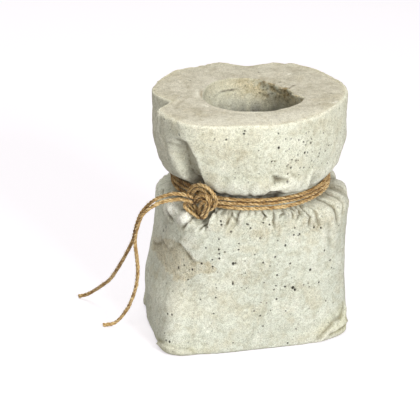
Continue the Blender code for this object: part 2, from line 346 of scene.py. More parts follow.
# The tails' routes as in the CAD, each led on into the knot by its first two points.
LONG_TAIL_ROUTE = [
    (-49.0, -37.5, 110.7), (-54.6, -40.2, 114.4),
    (-58.6, -40.1, 115.6), (-64.7, -39.0, 115.7), (-69.7, -36.8, 113.7),
    (-74.4, -33.6, 110.5), (-78.7, -29.6, 105.3), (-82.7, -25.0, 97.6),
    (-85.1, -19.9, 86.7), (-86.0, -14.5, 75.7), (-87.3, -10.1, 68.9),
    (-91.0, 2.0, 52.5), (-95.4, 23.6, 30.3), (-99.4, 36.8, 19.5),
    (-102.7, 47.3, 11.6), (-106.9, 56.0, 4.9), (-112.5, 60.9, TWINE / 2 + 0.15),
]  # fmt: skip
SHORT_TAIL_ROUTE = [
    (-49.3, -37.6, 107.5), (-55.2, -41.1, 111.1),
    (-59.6, -41.5, 112.3), (-65.1, -40.9, 112.0), (-70.4, -39.7, 110.9),
    (-75.1, -37.6, 108.4), (-79.3, -34.0, 104.0), (-82.9, -29.6, 98.0),
    (-84.9, -24.0, 87.9), (-85.9, -19.2, 77.6), (-85.7, -17.7, 72.6),
    (-84.6, -16.4, 64.4), (-83.5, -14.6, 54.5), (-83.3, -12.1, 44.7),
    (-84.2, -8.3, 34.0), (-87.2, -2.5, 20.4), (-90.4, 1.9, 11.9),
    (-93.7, 5.2, 5.9), (-97.8, 7.2, 2.3), (-104.4, 8.2, TWINE / 2 + 0.15),
]  # fmt: skip


def node(tree, kind, at=(0, 0), **inputs):
    made = tree.nodes.new(kind)
    for key, value in inputs.items():
        key = key.replace("_", " ")
        if isinstance(value, bpy.types.NodeSocket):
            tree.links.new(value, made.inputs[key])
        else:
            made.inputs[key].default_value = value
    return made


def ramp(tree, fac, stops):
    made = tree.nodes.new("ShaderNodeValToRGB")
    tree.links.new(fac, made.inputs[0])
    cr = made.color_ramp
    while len(cr.elements) < len(stops):
        cr.elements.new(0.5)
    for element, (at, colour) in zip(cr.elements, stops):
        element.position = at
        element.color = (*colour, 1)
    return made.outputs[0]


def lin(r, g, b):
    """Linear colour from 8-bit sRGB."""
    return tuple(((c / 255 + 0.055) / 1.055) ** 2.4 if c > 10 else c / 255 / 12.92 for c in (r, g, b))


def mix(tree, how, a, b, fac):
    made = tree.nodes.new("ShaderNodeMix")
    made.data_type = "RGBA"
    made.blend_type = how
    for key, value in (("Factor", fac), ("A", a), ("B", b)):
        socket = [s for s in made.inputs if s.name == key and s.type == ("VALUE" if key == "Factor" else "RGBA")][0]
        if isinstance(value, bpy.types.NodeSocket):
            tree.links.new(value, socket)
        else:
            socket.default_value = value if key == "Factor" else (*value, 1)
    return [s for s in made.outputs if s.type == "RGBA"][0]


def maths(tree, how, a, b=0.0, c=0.0, clamp=False):
    made = tree.nodes.new("ShaderNodeMath")
    made.operation = how
    made.use_clamp = clamp
    for k, value in enumerate((a, b, c)):
        if isinstance(value, bpy.types.NodeSocket):
            tree.links.new(value, made.inputs[k])
        else:
            made.inputs[k].default_value = value
    return made.outputs[0]


def attribute(tree, name):
    made = tree.nodes.new("ShaderNodeAttribute")
    made.attribute_name = name
    return made


def jute_material():
    m = bpy.data.materials.new("jute_twine_looks")
    m.use_nodes = True
    tree = m.node_tree
    shader = tree.nodes["Principled BSDF"]
    where = tree.nodes.new("ShaderNodeTexCoord").outputs["Object"]
    broad = node(tree, "ShaderNodeTexNoise", Vector=where, Scale=90.0, Detail=3.0).outputs[0]
    strands = attribute(tree, "fibre").outputs["Vector"]
    fine = node(tree, "ShaderNodeTexNoise", Vector=strands, Scale=2.6, Detail=3.0, Roughness=0.65).outputs[0]
    tone = maths(tree, "MULTIPLY_ADD", broad, 0.45, -0.62)
    tone = maths(tree, "MULTIPLY_ADD", fine, 1.75, tone)
    tone = maths(tree, "MULTIPLY_ADD", attribute(tree, "streak").outputs["Fac"], 0.16, tone)
    colour = ramp(
        tree, tone,
        [(0.12, lin(92, 56, 24)), (0.36, lin(148, 108, 56)), (0.58, lin(188, 149, 89)), (0.82, lin(242, 214, 158))],
    )
    # painted shade: where the tone value is low the colour goes to dark brown; above 1 it goes to a painted highlight
    shade = attribute(tree, "shade").outputs["Fac"]
    colour = mix(tree, "MIX", lin(58, 32, 13), colour, maths(tree, "MULTIPLY", shade, 1.0, clamp=True))
    colour = mix(tree, "MIX", colour, lin(248, 226, 176), maths(tree, "MULTIPLY_ADD", shade, 1.2, -1.2, clamp=True))
    tree.links.new(colour, shader.inputs["Base Color"])
    shader.inputs["Roughness"].default_value = 0.82
    shader.inputs["Specular IOR Level"].default_value = 0.25
    shader.inputs["Sheen Weight"].default_value = 0.15
    bump = node(tree, "ShaderNodeBump", Strength=0.8, Distance=0.0004, Height=fine)
    tree.links.new(bump.outputs[0], shader.inputs["Normal"])
    return m


JUTE = jute_material()

tails = []
for name, route, seed, loose in (
    ("tail_long", LONG_TAIL_ROUTE, 21, 0.9),
    ("tail_short", SHORT_TAIL_ROUTE, 22, 0.9),
):
    line = smooth_route(route, 0.65)
    soup = Soup()
    lay_twine(soup, line, seed, fuzz=loose)
    # The cut end opens into a few strands.
    random = rng(seed + 50)
    t, u, v = frames(line)
    for k in range(24):
        a, lean = random.random() * 2 * math.pi, 0.1 + 0.9 * random.random()
        out = math.cos(a) * u[-1] + math.sin(a) * v[-1]
        q = np.linspace(0, 1, 5)[:, None]
        reach = 1.0 + 1.2 * random.random()
        path = line[-4] + out * (0.75 + 1.1 * lean * q) + t[-1] * (reach * q * (1.3 - 0.4 * lean * q))
        path[:, 2] = np.maximum(path[:, 2], 0.12)
        soup.tube(path, np.array([0.24, 0.23, 0.20, 0.15, 0.07]), 4, 1.0, random.random(), at=run_length(line))
    tails.append((name, soup, line))

# The turns climb round the neck and pass under the knot.
turn_radius = NECK + TWINE / 2 + 0.35
count = 1560
start = math.radians(KNOT_ANGLE) + 0.05
share = np.linspace(0, 1, count + 1)
angle = start + (2 * math.pi * 3 - 0.10) * share
arc = np.stack([turn_radius * angle, 0 * angle, 0 * angle], -1)
free = step01(share, 0, 0.01) * step01(share, 1, 0.99)
away = turn_radius + free * (0.30 + 0.45 * noise(arc, 19.0, 24))
line = np.stack([away * np.cos(angle), away * np.sin(angle), 105.55 + 3.05 * 3 * share + 0.65 * free * noise(arc, 26.0, 25)], -1)
turns = Soup()
lay_twine(turns, line, 23, fuzz=0.75)

# The knot's strands: across, up from its middle, and out from the neck axis, mm.
KNOT_LINES = [
    [(-13.1, 0.5, 58.0), (-11.8, 3.8, 58.9), (-8.0, 7.8, 60.1), (-2.7, 11.0, 61.4), (2.6, 11.7, 62.3),
     (7.0, 10.2, 62.4), (10.1, 7.2, 61.9), (11.6, 3.3, 61.0), (10.3, -0.9, 59.6), (6.9, -4.8, 58.6), (3.2, -7.4, 58.1)],
    [(-9.4, -1.3, 57.6), (-8.7, 3.0, 58.8), (-5.2, 6.8, 60.2), (-1.2, 8.6, 60.9), (2.1, 7.5, 60.9),
     (5.2, 5.2, 60.8), (7.1, 2.4, 60.4), (6.8, -1.2, 59.7), (4.3, -4.9, 58.8), (0.9, -7.9, 58.1)],
    [(-4.3, -9.1, 59.0), (-5.9, -5.7, 60.2), (-5.7, -1.7, 61.2), (-2.7, 2.4, 62.3), (1.8, 5.0, 63.3),
     (5.7, 4.9, 63.7), (7.2, 1.9, 63.4), (6.5, -1.9, 62.7), (5.3, -5.9, 62.2), (4.3, -9.2, 62.0),
     (1.7, -11.8, 61.9), (-2.0, -12.3, 61.5), (-5.7, -11.3, 61.1), (-9.5, -9.9, 60.9), (-12.7, -8.3, 61.0),
     (-14.0, -6.2, 61.1), (-12.3, -3.8, 61.0), (-9.4, -3.5, 60.5), (-7.5, -4.8, 59.4)],
    [(-2.1, -12.8, 60.0), (-1.9, -9.5, 60.6), (-0.9, -5.9, 61.8), (0.8, -2.1, 62.9), (3.6, 1.2, 63.9),
     (6.1, 1.0, 64.4), (5.4, -2.5, 64.1), (3.4, -6.2, 63.4), (1.7, -9.7, 62.7), (0.4, -12.7, 61.5)],
    [(-14.5, -3.6, 58.5), (-12.5, -5.8, 58.7), (-9.2, -8.1, 58.9), (-5.8, -9.5, 59.2), (-2.5, -10.9, 59.8)],
    [(-4.8, -2.8, 59.9), (-1.7, 0.7, 61.4), (1.9, 2.5, 62.5), (3.9, 1.6, 62.7)],
    [(-3.5, 5.0, 57.6), (1.0, 2.0, 58.2), (2.5, -4.0, 58.4), (-2.0, -7.5, 58.4)],
]  # fmt: skip
out = np.array([math.cos(math.radians(KNOT_ANGLE)), math.sin(math.radians(KNOT_ANGLE)), 0])
side = np.array([-out[1], out[0], 0])


def knot_point(across, up, away):
    return out * away + side * across + np.array([0, 0, KNOT_Z + up])


knot = Soup()
for k, points in enumerate(KNOT_LINES):
    lay_twine(knot, smooth_route([knot_point(*p) for p in points], 0.65), 30 + k, fuzz=1.5)


def painted_shade_under_head(co):
    """Painted shade: the top turn is darkened under the head, more so left of the knot."""
    left = step01(np.abs(turn_from(np.arctan2(co[:, 1], co[:, 0]), -176.0)), 34, 14)
    return (1 - 0.45 * step01(co[:, 2], 111.8, 115.0)) * (1 - 0.35 * left)


for name, soup, line in tails:
    piece = soup.build(name, JUTE)
    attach(piece, "root")
    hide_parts("twine_" + name)
for name, soup, dark in (("turns", turns, painted_shade_under_head), ("knot", knot, None)):
    piece = soup.build(name, JUTE, dark)
    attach(piece, "root")
    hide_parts("twine_" + name)


# ============================================================ the sack's form
SECTIONS = [
    (0.0, 64.0, 57.0, 3.6, -3.0, 8.0, 1.00, 0.972, 0.00, 0.970),
    (1.2, 66.0, 58.5, 3.6, -3.0, 8.0, 1.00, 0.990, 0.00, 0.970),
    (4.0, 67.5, 59.5, 3.6, -3.0, 8.0, 1.00, 0.998, 0.00, 0.970),
    (12.0, 68.5, 60.5, 3.5, -3.0, 8.0, 0.85, 1.000, 0.00, 0.970),
    (26.0, 69.0, 61.0, 3.3, -3.0, 7.8, 0.50, 1.000, 0.00, 0.970),
    (46.0, 65.9, 60.5, 3.1, -0.5, 7.0, 0.10, 1.000, 0.00, 0.970),
    (66.0, 64.6, 60.0, 3.0, 1.0, 6.0, 0.00, 1.000, 0.00, 0.970),
    (84.0, 64.3, 59.0, 3.1, 1.6, 5.0, 0.00, 1.000, 0.00, 0.970),
    (91.5, 64.3, 57.8, 3.0, 1.6, 4.0, 0.00, 1.000, 0.00, 0.970),
    (96.5, 63.1, 56.4, 2.8, 1.9, 3.2, 0.00, 1.000, 0.00, 0.970),
    (99.6, 59.6, 54.8, 2.5, 1.5, 2.2, 0.00, 1.000, 0.00, 0.970),
    (102.0, 54.2, 53.0, 2.1, 0.3, 0.5, 0.00, 1.000, 0.00, 0.970),
    (NECK_LOW, NECK, NECK, 2.0, 0.0, 0.0, 0.00, 1.000, 0.00, 0.970),
    (NECK_HIGH, NECK, NECK, 2.0, 0.0, 0.0, 0.00, 1.000, 0.00, 0.970),
    (117.7, 54.4, 54.4, 2.0, -0.8, 0.8, 0.00, 1.000, 0.00, 0.970),
    (119.7, 57.2, 57.2, 2.0, -1.8, 2.4, 0.00, 1.000, 0.05, 0.970),
    (123.0, 59.8, 59.6, 2.0, -2.4, 3.0, 0.00, 1.000, 0.15, 0.970),
    (129.0, 63.2, 62.3, 2.0, -2.7, 3.4, 0.00, 1.000, 0.32, 0.970),
    (141.0, 66.8, 65.3, 2.0, -1.8, 4.2, 0.00, 1.000, 0.60, 0.985),
    (154.0, 68.0, 66.9, 2.0, -1.0, 4.8, 0.00, 1.000, 0.85, 1.000),
    (165.8, 67.6, 67.5, 2.0, -0.4, 5.0, 0.00, 1.000, 1.00, 1.003),
    (HEIGHT - 0.7, 66.8, 66.8, 2.0, -0.4, 5.0, 0.00, 1.000, 1.00, 0.998),
    (HEIGHT, 65.8, 65.8, 2.0, -0.4, 5.0, 0.00, 1.000, 1.00, 0.985),
]
RIM_OUTLINE = [
    (-168, 69.8), (-162, 71.2), (-151, 72.6), (-139, 74.2), (-125, 69.3),
    (-110, 63.8), (-92, 63.2), (-77, 62.3), (-63, 60.9), (-45, 60.8),
    (-27, 62.3), (-8, 67.2), (6, 69.6), (17, 71.0), (32, 73.0), (49, 75.4),
    (60, 74.4), (70, 69.4), (78, 66.6), (86, 69.6), (95, 74.6), (106, 73.6),
    (119, 74.6), (136, 72.3), (148, 71.8), (155, 70.3), (165, 66.6),
    (173, 60.8), (180, 57.0), (186, 61.5),
]  # fmt: skip
BASE_OUTLINE = [
    (-24.5, 70.8), (-34, 72.4), (-45.4, 67.8), (-58.3, 61.4), (-83.6, 53.9),
    (-110.5, 57.8), (-125.4, 66.2), (-136.5, 75.5), (-140.8, 81.4),
    (-146.2, 84.1), (-154.3, 80.4), (-169.9, 74.0), (167.4, 73.5),
    (149, 77.6), (135.5, 81.0), (121, 77.2), (105, 71.5), (90, 69.0),
    (75, 71.5), (62.6, 76.0), (48, 80.7), (36.3, 79.4), (20.3, 72.0),
    (0, 67.6), (-12.7, 68.2),
]  # fmt: skip
# The pocket's broken mouth, from the pocket's centre: wide and soft at the
# back left, with a lip of plaster over it at the back right.
MOUTH_OUTLINE = [
    (-175, 34.4), (-162, 34.3), (-150, 34.2), (-140, 33.9), (-126, 33.8),
    (-101, 32.9), (-87, 33.8), (-63, 33.4), (-50, 34.2), (-31, 34.8),
    (-21, 34.7), (-15, 31.2), (-8, 27.6), (3, 28.6), (10, 27.6), (20, 28.6),
    (30, 26.9), (42, 27.0), (50, 28.6), (58, 30.0), (68, 33.6), (80, 35.3),
    (92, 36.8), (104, 38.2), (115, 38.6), (128, 37.4), (141, 35.6),
    (163, 33.9), (174, 34.2),
]  # fmt: skip

_SZ = np.array([row[0] for row in SECTIONS])
_SV = np.array([row[1:] for row in SECTIONS])
_SM = monotone_slopes(_SZ, _SV)
rim_radius = outline(RIM_OUTLINE)
base_radius = outline(BASE_OUTLINE)
mouth_radius = outline(MOUTH_OUTLINE)


def hollow_limit(angle, z):
    across = np.radians(turn_from(angle, KNOT_ANGLE)) * 60.0
    return 55.6 + 0.030 * (across**2 + (z - KNOT_Z) ** 2)


def sack_point(angle, z):
    angle, z = np.broadcast_arrays(np.asarray(angle, float), np.asarray(z, float))
    rows = hermite(_SZ, _SV, _SM, z)
    a, b, n, cx, cy, w_base, k_base, w_rim, k_rim = (rows[..., k] for k in range(9))
    c, s = np.cos(angle), np.sin(angle)
    r = (np.abs(c / a) ** n + np.abs(s / b) ** n) ** (-1 / n)
    edge = w_base * base_radius(angle) * k_base + w_rim * rim_radius(angle) * k_rim
    own = 1 - w_base - w_rim
    x = own * (cx + r * c) + edge * c
    y = own * (cy + r * s) + edge * s
    far = np.hypot(x, y)
    limit = hollow_limit(np.arctan2(y, x), z)
    near = far - np.logaddexp(0.0, (far - limit) * 1.2) / 1.2
    near = np.where(limit - far > 8, far, near)
    return np.stack([x * near / far, y * near / far, z + 0 * x], -1)


# ============================================================ grid of the cast
def spread(density, count, samples=4000):
    """count angles round the circle, closer where density is high."""
    a = np.linspace(-math.pi, math.pi, samples)
    w = density(a)
    run = np.concatenate([[0], np.cumsum((w[1:] + w[:-1]) / 2)])
    run /= run[-1]
    return np.interp(np.arange(count) / count, run, a)


COLS = 316
angles = spread(lambda a: 1.0 + 1.0 * step01(np.cos(a + math.radians(100)), -0.45, 0.1), COLS)

BASE, WALL, TOP, POCK, FLOOR = range(5)
rows, kinds = [], []


def add_row(points, kind):
    rows.append(points)
    kinds.append(kind)


foot = sack_point(angles, 0.0)
foot_mid = np.array([*foot[:, :2].mean(axis=0), 0.0])
for f in (0.12, 0.3, 0.5, 0.68, 0.82, 0.91, 0.96, 0.985):
    add_row(foot_mid + (foot - foot_mid) * f, BASE)

fine_z = np.unique(np.concatenate([np.linspace(0, HEIGHT, 3361)]))
probe = sack_point(np.radians([-100.0, -40.0, 170.0, 60.0])[:, None], fine_z[None, :])
reach = np.hypot(probe[..., 0], probe[..., 1]).mean(axis=0)
weight = np.ones_like(fine_z)
weight += 0.9 * step01(fine_z, 2.5, 0.8) + 1.6 * step01(fine_z, 166.5, 167.3)
weight += 0.35 * step01(fine_z, 84, 92) * step01(fine_z, 124, 116)
arc = np.hypot(np.diff(fine_z), np.diff(reach)) * (weight[1:] + weight[:-1]) / 2
run = np.concatenate([[0], np.cumsum(arc)])
WALL_ROWS = 176
for z in np.interp(np.linspace(0, run[-1], WALL_ROWS), run, fine_z):
    add_row(sack_point(angles, z), WALL)

rim = sack_point(angles, HEIGHT)


def mouth(angle, grow, z):
    r = mouth_radius(angle) + grow
    return np.stack(
        [POCKET[0] + r * np.cos(angle), POCKET[1] + r * np.sin(angle), z + 0 * r], -1
    )


edge = mouth(angles, 0.9, HEIGHT)
for f in np.concatenate([[0.012, 0.03], np.linspace(0.065, 0.94, 24), [0.975, 1.0]]):
    add_row(rim + (edge - rim) * f, TOP)
slope = (POCKET_RIM - POCKET_FLOOR) / POCKET_DEPTH


def cup_radius(z):
    return POCKET_RIM - slope * (HEIGHT - z)


def pocket_row(angle, z):
    """The pocket's wall: under the broken lip it falls back to the cup's wall."""
    open_r = mouth_radius(angle)
    cup_r = cup_radius(z)
    lip = np.where(
        open_r < POCKET_RIM - 1,
        0.25 * step01(z, 166.5, 163.0) + 0.75 * step01(z, 164.0, 151.0),
        step01(z, 167.2, 157.0),
    )
    r = open_r + (cup_r - open_r) * lip
    return np.stack(
        [POCKET[0] + r * np.cos(angle), POCKET[1] + r * np.sin(angle), z + 0 * r], -1
    )


add_row(mouth(angles, 0.42, HEIGHT - 0.16), POCK)
add_row(mouth(angles, 0.12, HEIGHT - 0.48), POCK)
low = HEIGHT - POCKET_DEPTH
heights = np.concatenate(
    [np.linspace(HEIGHT - 1.0, HEIGHT - 30, 29), np.linspace(HEIGHT - 33, low + 4, 9)]
)
for z in heights:
    add_row(pocket_row(angles, z), POCK)
for k in range(1, 5):
    t = math.radians(90 * k / 4)
    r = POCKET_FLOOR + slope * 4 - 4 * (1 - math.cos(t))
    z = low + 4 * (1 - math.sin(t))
    ring = np.stack([POCKET[0] + r * np.cos(angles), POCKET[1] + r * np.sin(angles), z + 0 * angles], -1)
    add_row(ring, POCK)
floor_ring = rows[-1]
floor_mid = np.array([*POCKET, low])
for f in (0.85, 0.65, 0.42, 0.18):
    add_row(floor_mid + (floor_ring - floor_mid) * f, FLOOR)

grid = np.array(rows)
R_ROWS = len(rows)
coords = np.vstack([grid.reshape(-1, 3), [foot_mid], [floor_mid]])
kind = np.concatenate([np.repeat(kinds, COLS), [BASE], [FLOOR]])
k0 = np.arange(R_ROWS - 1)[:, None] * COLS
i0 = np.arange(COLS)[None, :]
i1 = (i0 + 1) % COLS
quads = np.stack([k0 + i0, k0 + i1, k0 + COLS + i1, k0 + COLS + i0], -1).reshape(-1, 4)
fan_a = [(int(i1[0, i]), int(i), R_ROWS * COLS) for i in range(COLS)]
last = (R_ROWS - 1) * COLS
fan_b = [(last + i, last + int(i1[0, i]), R_ROWS * COLS + 1) for i in range(COLS)]

cast_mesh = bpy.data.meshes.new("cast_skin")
cast_mesh.from_pydata(coords.tolist(), [], quads.tolist() + fan_a + fan_b)
cast_mesh.update()
cast_mesh.attributes.new("kind", "FLOAT", "POINT").data.foreach_set("value", kind.astype(np.float32))
turned = np.tile(np.stack([np.cos(angles), np.sin(angles)], -1), (R_ROWS, 1))
turned = np.vstack([turned, [[1.0, 0.0], [1.0, 0.0]]])
for label, values in (("pc", turned[:, 0]), ("ps", turned[:, 1])):
    cast_mesh.attributes.new(label, "FLOAT", "POINT").data.foreach_set("value", values.astype(np.float32))

# ============================================================ air holes
# Angle and height of each hole on the wall, and its radius, mm.
PITS = [
    (-86.2, 151.5, 0.95), (-62.5, 150, 0.7), (-50.3, 153.8, 0.6), (-72.7, 154.8, 0.55),
    (-78.5, 156.8, 0.5), (-66.8, 149.8, 0.5), (-68.8, 152.5, 0.55), (-53.7, 143, 0.6),
    (-48, 139.8, 0.6), (-43.8, 142.8, 0.6), (-67.2, 144, 0.95), (-72.7, 144, 0.5),
    (-76.8, 141.2, 0.65), (-73.7, 139.8, 0.6), (-79.8, 137.2, 0.55), (-76.5, 135.2, 0.7),
    (-77.8, 130.8, 0.6), (-55, 138.2, 0.7), (-54.3, 140.2, 0.6), (-43.3, 129.2, 0.7),
    (-60.2, 136.2, 0.5), (-58.2, 135.8, 0.55), (-33.7, 144.2, 0.6), (-90, 141.8, 0.6),
    (-69.5, 133.5, 0.6), (-66.2, 132.8, 0.7), (-44.7, 123.5, 0.6), (-107.5, 164.8, 0.7),
    (-108, 162.8, 0.8), (-118, 158.8, 0.7), (-144.2, 159, 0.6), (-98.5, 150.5, 0.5),
    (-64.5, 158.5, 0.5), (-86.8, 161.8, 0.5), (-82, 157.5, 0.5), (-104.5, 117.8, 0.8),
    (-103.2, 116.9, 0.7), (-98.2, 117.5, 0.8), (-173, 87.8, 1.0), (-168.5, 90.8, 1.1),
    (-164, 81.2, 1.0), (-168.5, 76, 0.9), (-172.2, 72, 0.8), (170.2, 70.8, 1.0),
    (-143.8, 74.2, 0.8), (-170, 56.5, 0.7), (-159.8, 55.5, 0.6), (-125.5, 64, 0.7),
    (-111, 76.5, 0.7), (-113.8, 66.5, 0.95), (-112.4, 66.6, 0.8), (-122.5, 76.8, 0.7), (-122.2, 73.8, 0.6),
    (-119, 75.2, 0.6), (-122, 70.2, 0.7), (-126, 69.2, 0.6), (-104.5, 92, 0.7),
    (-95.8, 94.8, 0.7), (-122.5, 94.8, 0.7), (-123.5, 97, 0.7), (-80.2, 76.8, 0.8),
    (-87, 69.2, 0.7), (-61.5, 87.2, 0.7), (-54, 68.2, 0.8), (-62.5, 55.5, 0.9),
    (-83, 37.2, 0.8), (-84.5, 55, 0.7), (-84.5, 47.2, 0.6), (-92.8, 50.5, 0.7),
    (-94, 26, 0.8), (-98.2, 29.8, 0.6), (-112.8, 51.5, 0.7), (-78.2, 45.8, 0.7),
    (-73, 44.5, 1.2), (-71.5, 42.8, 0.9), (-76.5, 63, 0.7), (-146.5, 27.5, 0.8),
    (-143.8, 27.8, 0.7), (-145, 9.8, 0.8), (-147, 10.2, 0.7), (-75, 2.9, 0.7),
    (-122, 41.5, 0.6), (-122.8, 29.8, 0.6), (-130, 39.8, 0.6), (-85.5, 44.5, 0.7),
    (-56.2, 45, 0.7), (-48.7, 59, 0.8), (-47.5, 53.2, 0.7), (-100.7, 72.2, 0.6),
    (-111, 81, 0.6), (-94.8, 65.8, 0.6), (-130, 77.8, 0.6), (-137.2, 60, 0.8),
    (-143, 61.2, 0.7), (-147, 58.2, 0.8), (-132, 65.5, 0.8), (-139, 52.2, 0.6),
    (-154.2, 43.8, 0.6), (-116.2, 89.8, 0.6), (-107.2, 95, 0.7), (-97.8, 84.2, 0.6),
    (-71, 83.8, 0.7), (-74, 89, 0.6), (-57, 86.2, 0.7), (-42.7, 83, 0.7),
]  # fmt: skip
random = rng(5)
pits = [list(p) for p in PITS]
# Scattered ones: thick on the head's right, thin elsewhere.
for lo_a, hi_a, lo_z, hi_z, many, small, big in (
    (-88, -30, 123, 160, 46, 0.32, 0.6),
    (-30, 150, 122, 164, 80, 0.4, 0.9),
    (-165, -95, 122, 162, 22, 0.3, 0.5),
    (-178, -20, 6, 100, 80, 0.32, 0.65),
    (-20, 180, 5, 98, 110, 0.4, 1.0),
):
    for _ in range(many):
        size = small + (big - small) * random.random() ** 2
        pits.append([random.uniform(lo_a, hi_a), random.uniform(lo_z, hi_z), size])
pits = np.array(pits)
centres = sack_point(np.radians(pits[:, 0]), pits[:, 1])
pit_r = pits[:, 2]
# A few in the flat top and on the pocket's broken wall.
top_pits = np.array([
    (0.0, 0.0, 0.0, 0.0),
])[:0]
more = []
for a, r, z, size in ((-83, 48, 168, 0.7), (-150, 52, 168, 0.5), (20, 52, 168, 0.5), (70, 50, 168, 0.5), (130, 52, 168, 0.6), (-35, 50, 168, 0.5), (-20, 57, 168, 0.5)):
    more.append((POCKET[0] * 0 + r * math.cos(math.radians(a)), r * math.sin(math.radians(a)), z, size))
for _ in range(24):
    a = math.radians(random.uniform(-10, 75))
    z = random.uniform(156, 166)
    r = float(cup_radius(z))
    more.append((POCKET[0] + r * math.cos(a), POCKET[1] + r * math.sin(a), z, random.uniform(0.4, 0.9)))
for _ in range(5):
    a = math.radians(random.uniform(75, 300))
    z = random.uniform(135, 164)
    r = float(cup_radius(z))
    more.append((POCKET[0] + r * math.cos(a), POCKET[1] + r * math.sin(a), z, random.uniform(0.35, 0.6)))
more = np.array(more)
centres = np.vstack([centres, more[:, :3]])
pit_r = np.concatenate([pit_r, more[:, 3]])

# The mesh is made finer round the holes.
from mathutils.kdtree import KDTree


def refine(mesh, reach, budget):
    """One more cut across the faces that lie within reach (radius units) of a hole."""
    bm = bmesh.new()
    bm.from_mesh(mesh)
    tree = KDTree(len(bm.faces))
    faces = list(bm.faces)
    for i, f in enumerate(faces):
        tree.insert(f.calc_center_median(), i)
    tree.balance()
    chosen = set()
    for c, r in zip(centres, pit_r):
        if r < budget:
            continue
        for _, i, _ in tree.find_range(Vector(c), r * reach + 0.25):
            chosen.add(i)
    edges = {e for i in chosen for e in faces[i].edges}
    bmesh.ops.subdivide_edges(bm, edges=list(edges), cuts=1, use_grid_fill=True)
    bm.to_mesh(mesh)
    bm.free()


refine(cast_mesh, 1.45, 0.0)
refine(cast_mesh, 1.15, 0.45)


def pull(name):
    data = np.zeros(len(cast_mesh.vertices), np.float32)
    cast_mesh.attributes[name].data.foreach_get("value", data)
    return data.astype(float)


def read(what, n=3):
    data = np.zeros(len(cast_mesh.vertices) * n, np.float32)
    cast_mesh.vertices.foreach_get(what, data)
    return data.reshape(-1, n).astype(float)


def write(points):
    cast_mesh.vertices.foreach_set("co", points.astype(np.float32).ravel())
    cast_mesh.update()


P = read("co")
N = read("normal")
if (P[:, :2] * N[:, :2]).sum() < 0:
    N = -N
K = pull("kind")
ANG = np.degrees(np.arctan2(pull("ps"), pull("pc")))
Z = P[:, 2].copy()
DEG = 1.152  # mm of the wall in a degree
wall = step01(K, 0.5, 1.0) * step01(K, 1.6, 1.2)
on_top = step01(K, 1.5, 2.0) * step01(K, 2.6, 2.3)
in_pocket = step01(K, 2.4, 2.9)


def near_line(points, warp=0.0, seed=0):
    """Distance in mm from a line of (angle, height) on the wall, its side and the share along it."""
    p = np.array(points, float)
    p[:, 0] = np.degrees(np.unwrap(np.radians(p[:, 0])))
    seg = np.hypot(np.diff(p[:, 0]) * DEG, np.diff(p[:, 1]))
    total, before = seg.sum(), 0.0
    best = np.full(len(ANG), 1e9)
    side = np.zeros(len(ANG))
    along = np.zeros(len(ANG))
    wx = warp * noise(P, 5.0, seed + 60) if warp else 0.0
    wz = warp * noise(P, 5.0, seed + 61) if warp else 0.0
    for (a0, z0), (a1, z1), s in zip(p[:-1], p[1:], seg):
        x = ((ANG - a0 + 180) % 360 - 180) * DEG + wx
        y = Z - z0 + wz
        vx, vy = (a1 - a0) * DEG, z1 - z0
        t = (x * vx + y * vy) / (s * s)
        tc = np.clip(t, 0, 1)
        d = np.hypot(x - tc * vx, y - tc * vy)
        closer = d < best
        best = np.where(closer, d, best)
        side = np.where(closer, np.sign(vx * y - vy * x), side)
        along = np.where(closer, (before + tc * s) / total, along)
        before += s
    return best, side, along


def blot(a, z, across, tall, warp=3.0, seed=0):
    """A soft-edged blotch on the wall, across and tall in mm."""
    x = ((ANG - a + 180) % 360 - 180) * DEG + warp * noise(P, 6.0, seed + 100)
    y = Z - z + warp * noise(P, 6.0, seed + 101)
    return np.exp(-((x / across) ** 2 + (y / tall) ** 2))


def ends(along, a=0.15, b=0.15):
    """Fades a line's two ends."""
    one = step01(along, -0.02, a) if a > 0 else 1.0
    two = step01(along, 1.02, 1 - b) if b > 0 else 1.0
    return one * two


shape = np.zeros(len(P))  # outward shift of the wall, mm
painted_hollow_shade = np.zeros(len(P))  # painted shade in creases, hollows and under the head


def crease(points, depth, width, shoulder=0.35, a=0.2, b=0.2, warp=0.8, dark=0.5, seed=0):
    global shape, painted_hollow_shade
    d, _, along = near_line(points, warp, seed)
    e = ends(along, a, b)
    shape = shape - depth * e * np.exp(-((d / width) ** 2))
    shape = shape + depth * shoulder * e * np.exp(-(((d - 2.1 * width) / (1.1 * width)) ** 2))
    # painted shade along the crease
    painted_hollow_shade = painted_hollow_shade + dark * e * np.exp(-((d / (0.8 * width)) ** 2))


def ridge(points, height, width, a=0.2, b=0.2, warp=0.8, seed=0):
    crease(points, -height, width, 0.0, a, b, warp, 0.0, seed)


def fold(points, height, reach, width=0.8, a=0.2, b=0.2, warp=0.8, which=1, dark=0.4, seed=0):
    """One side of the line stands over the other and falls back away from it."""
    global shape, painted_hollow_shade
    d, side, along = near_line(points, warp, seed)
    e = ends(along, a, b)
    s = d * side * which
    shape = shape + height * e * step01(s, -width, width) * np.exp(-np.maximum(s, 0) / reach)
    # painted shade under the standing edge
    painted_hollow_shade = painted_hollow_shade + dark * e * np.exp(-(((s + width * 0.9) / (0.9 * width)) ** 2))


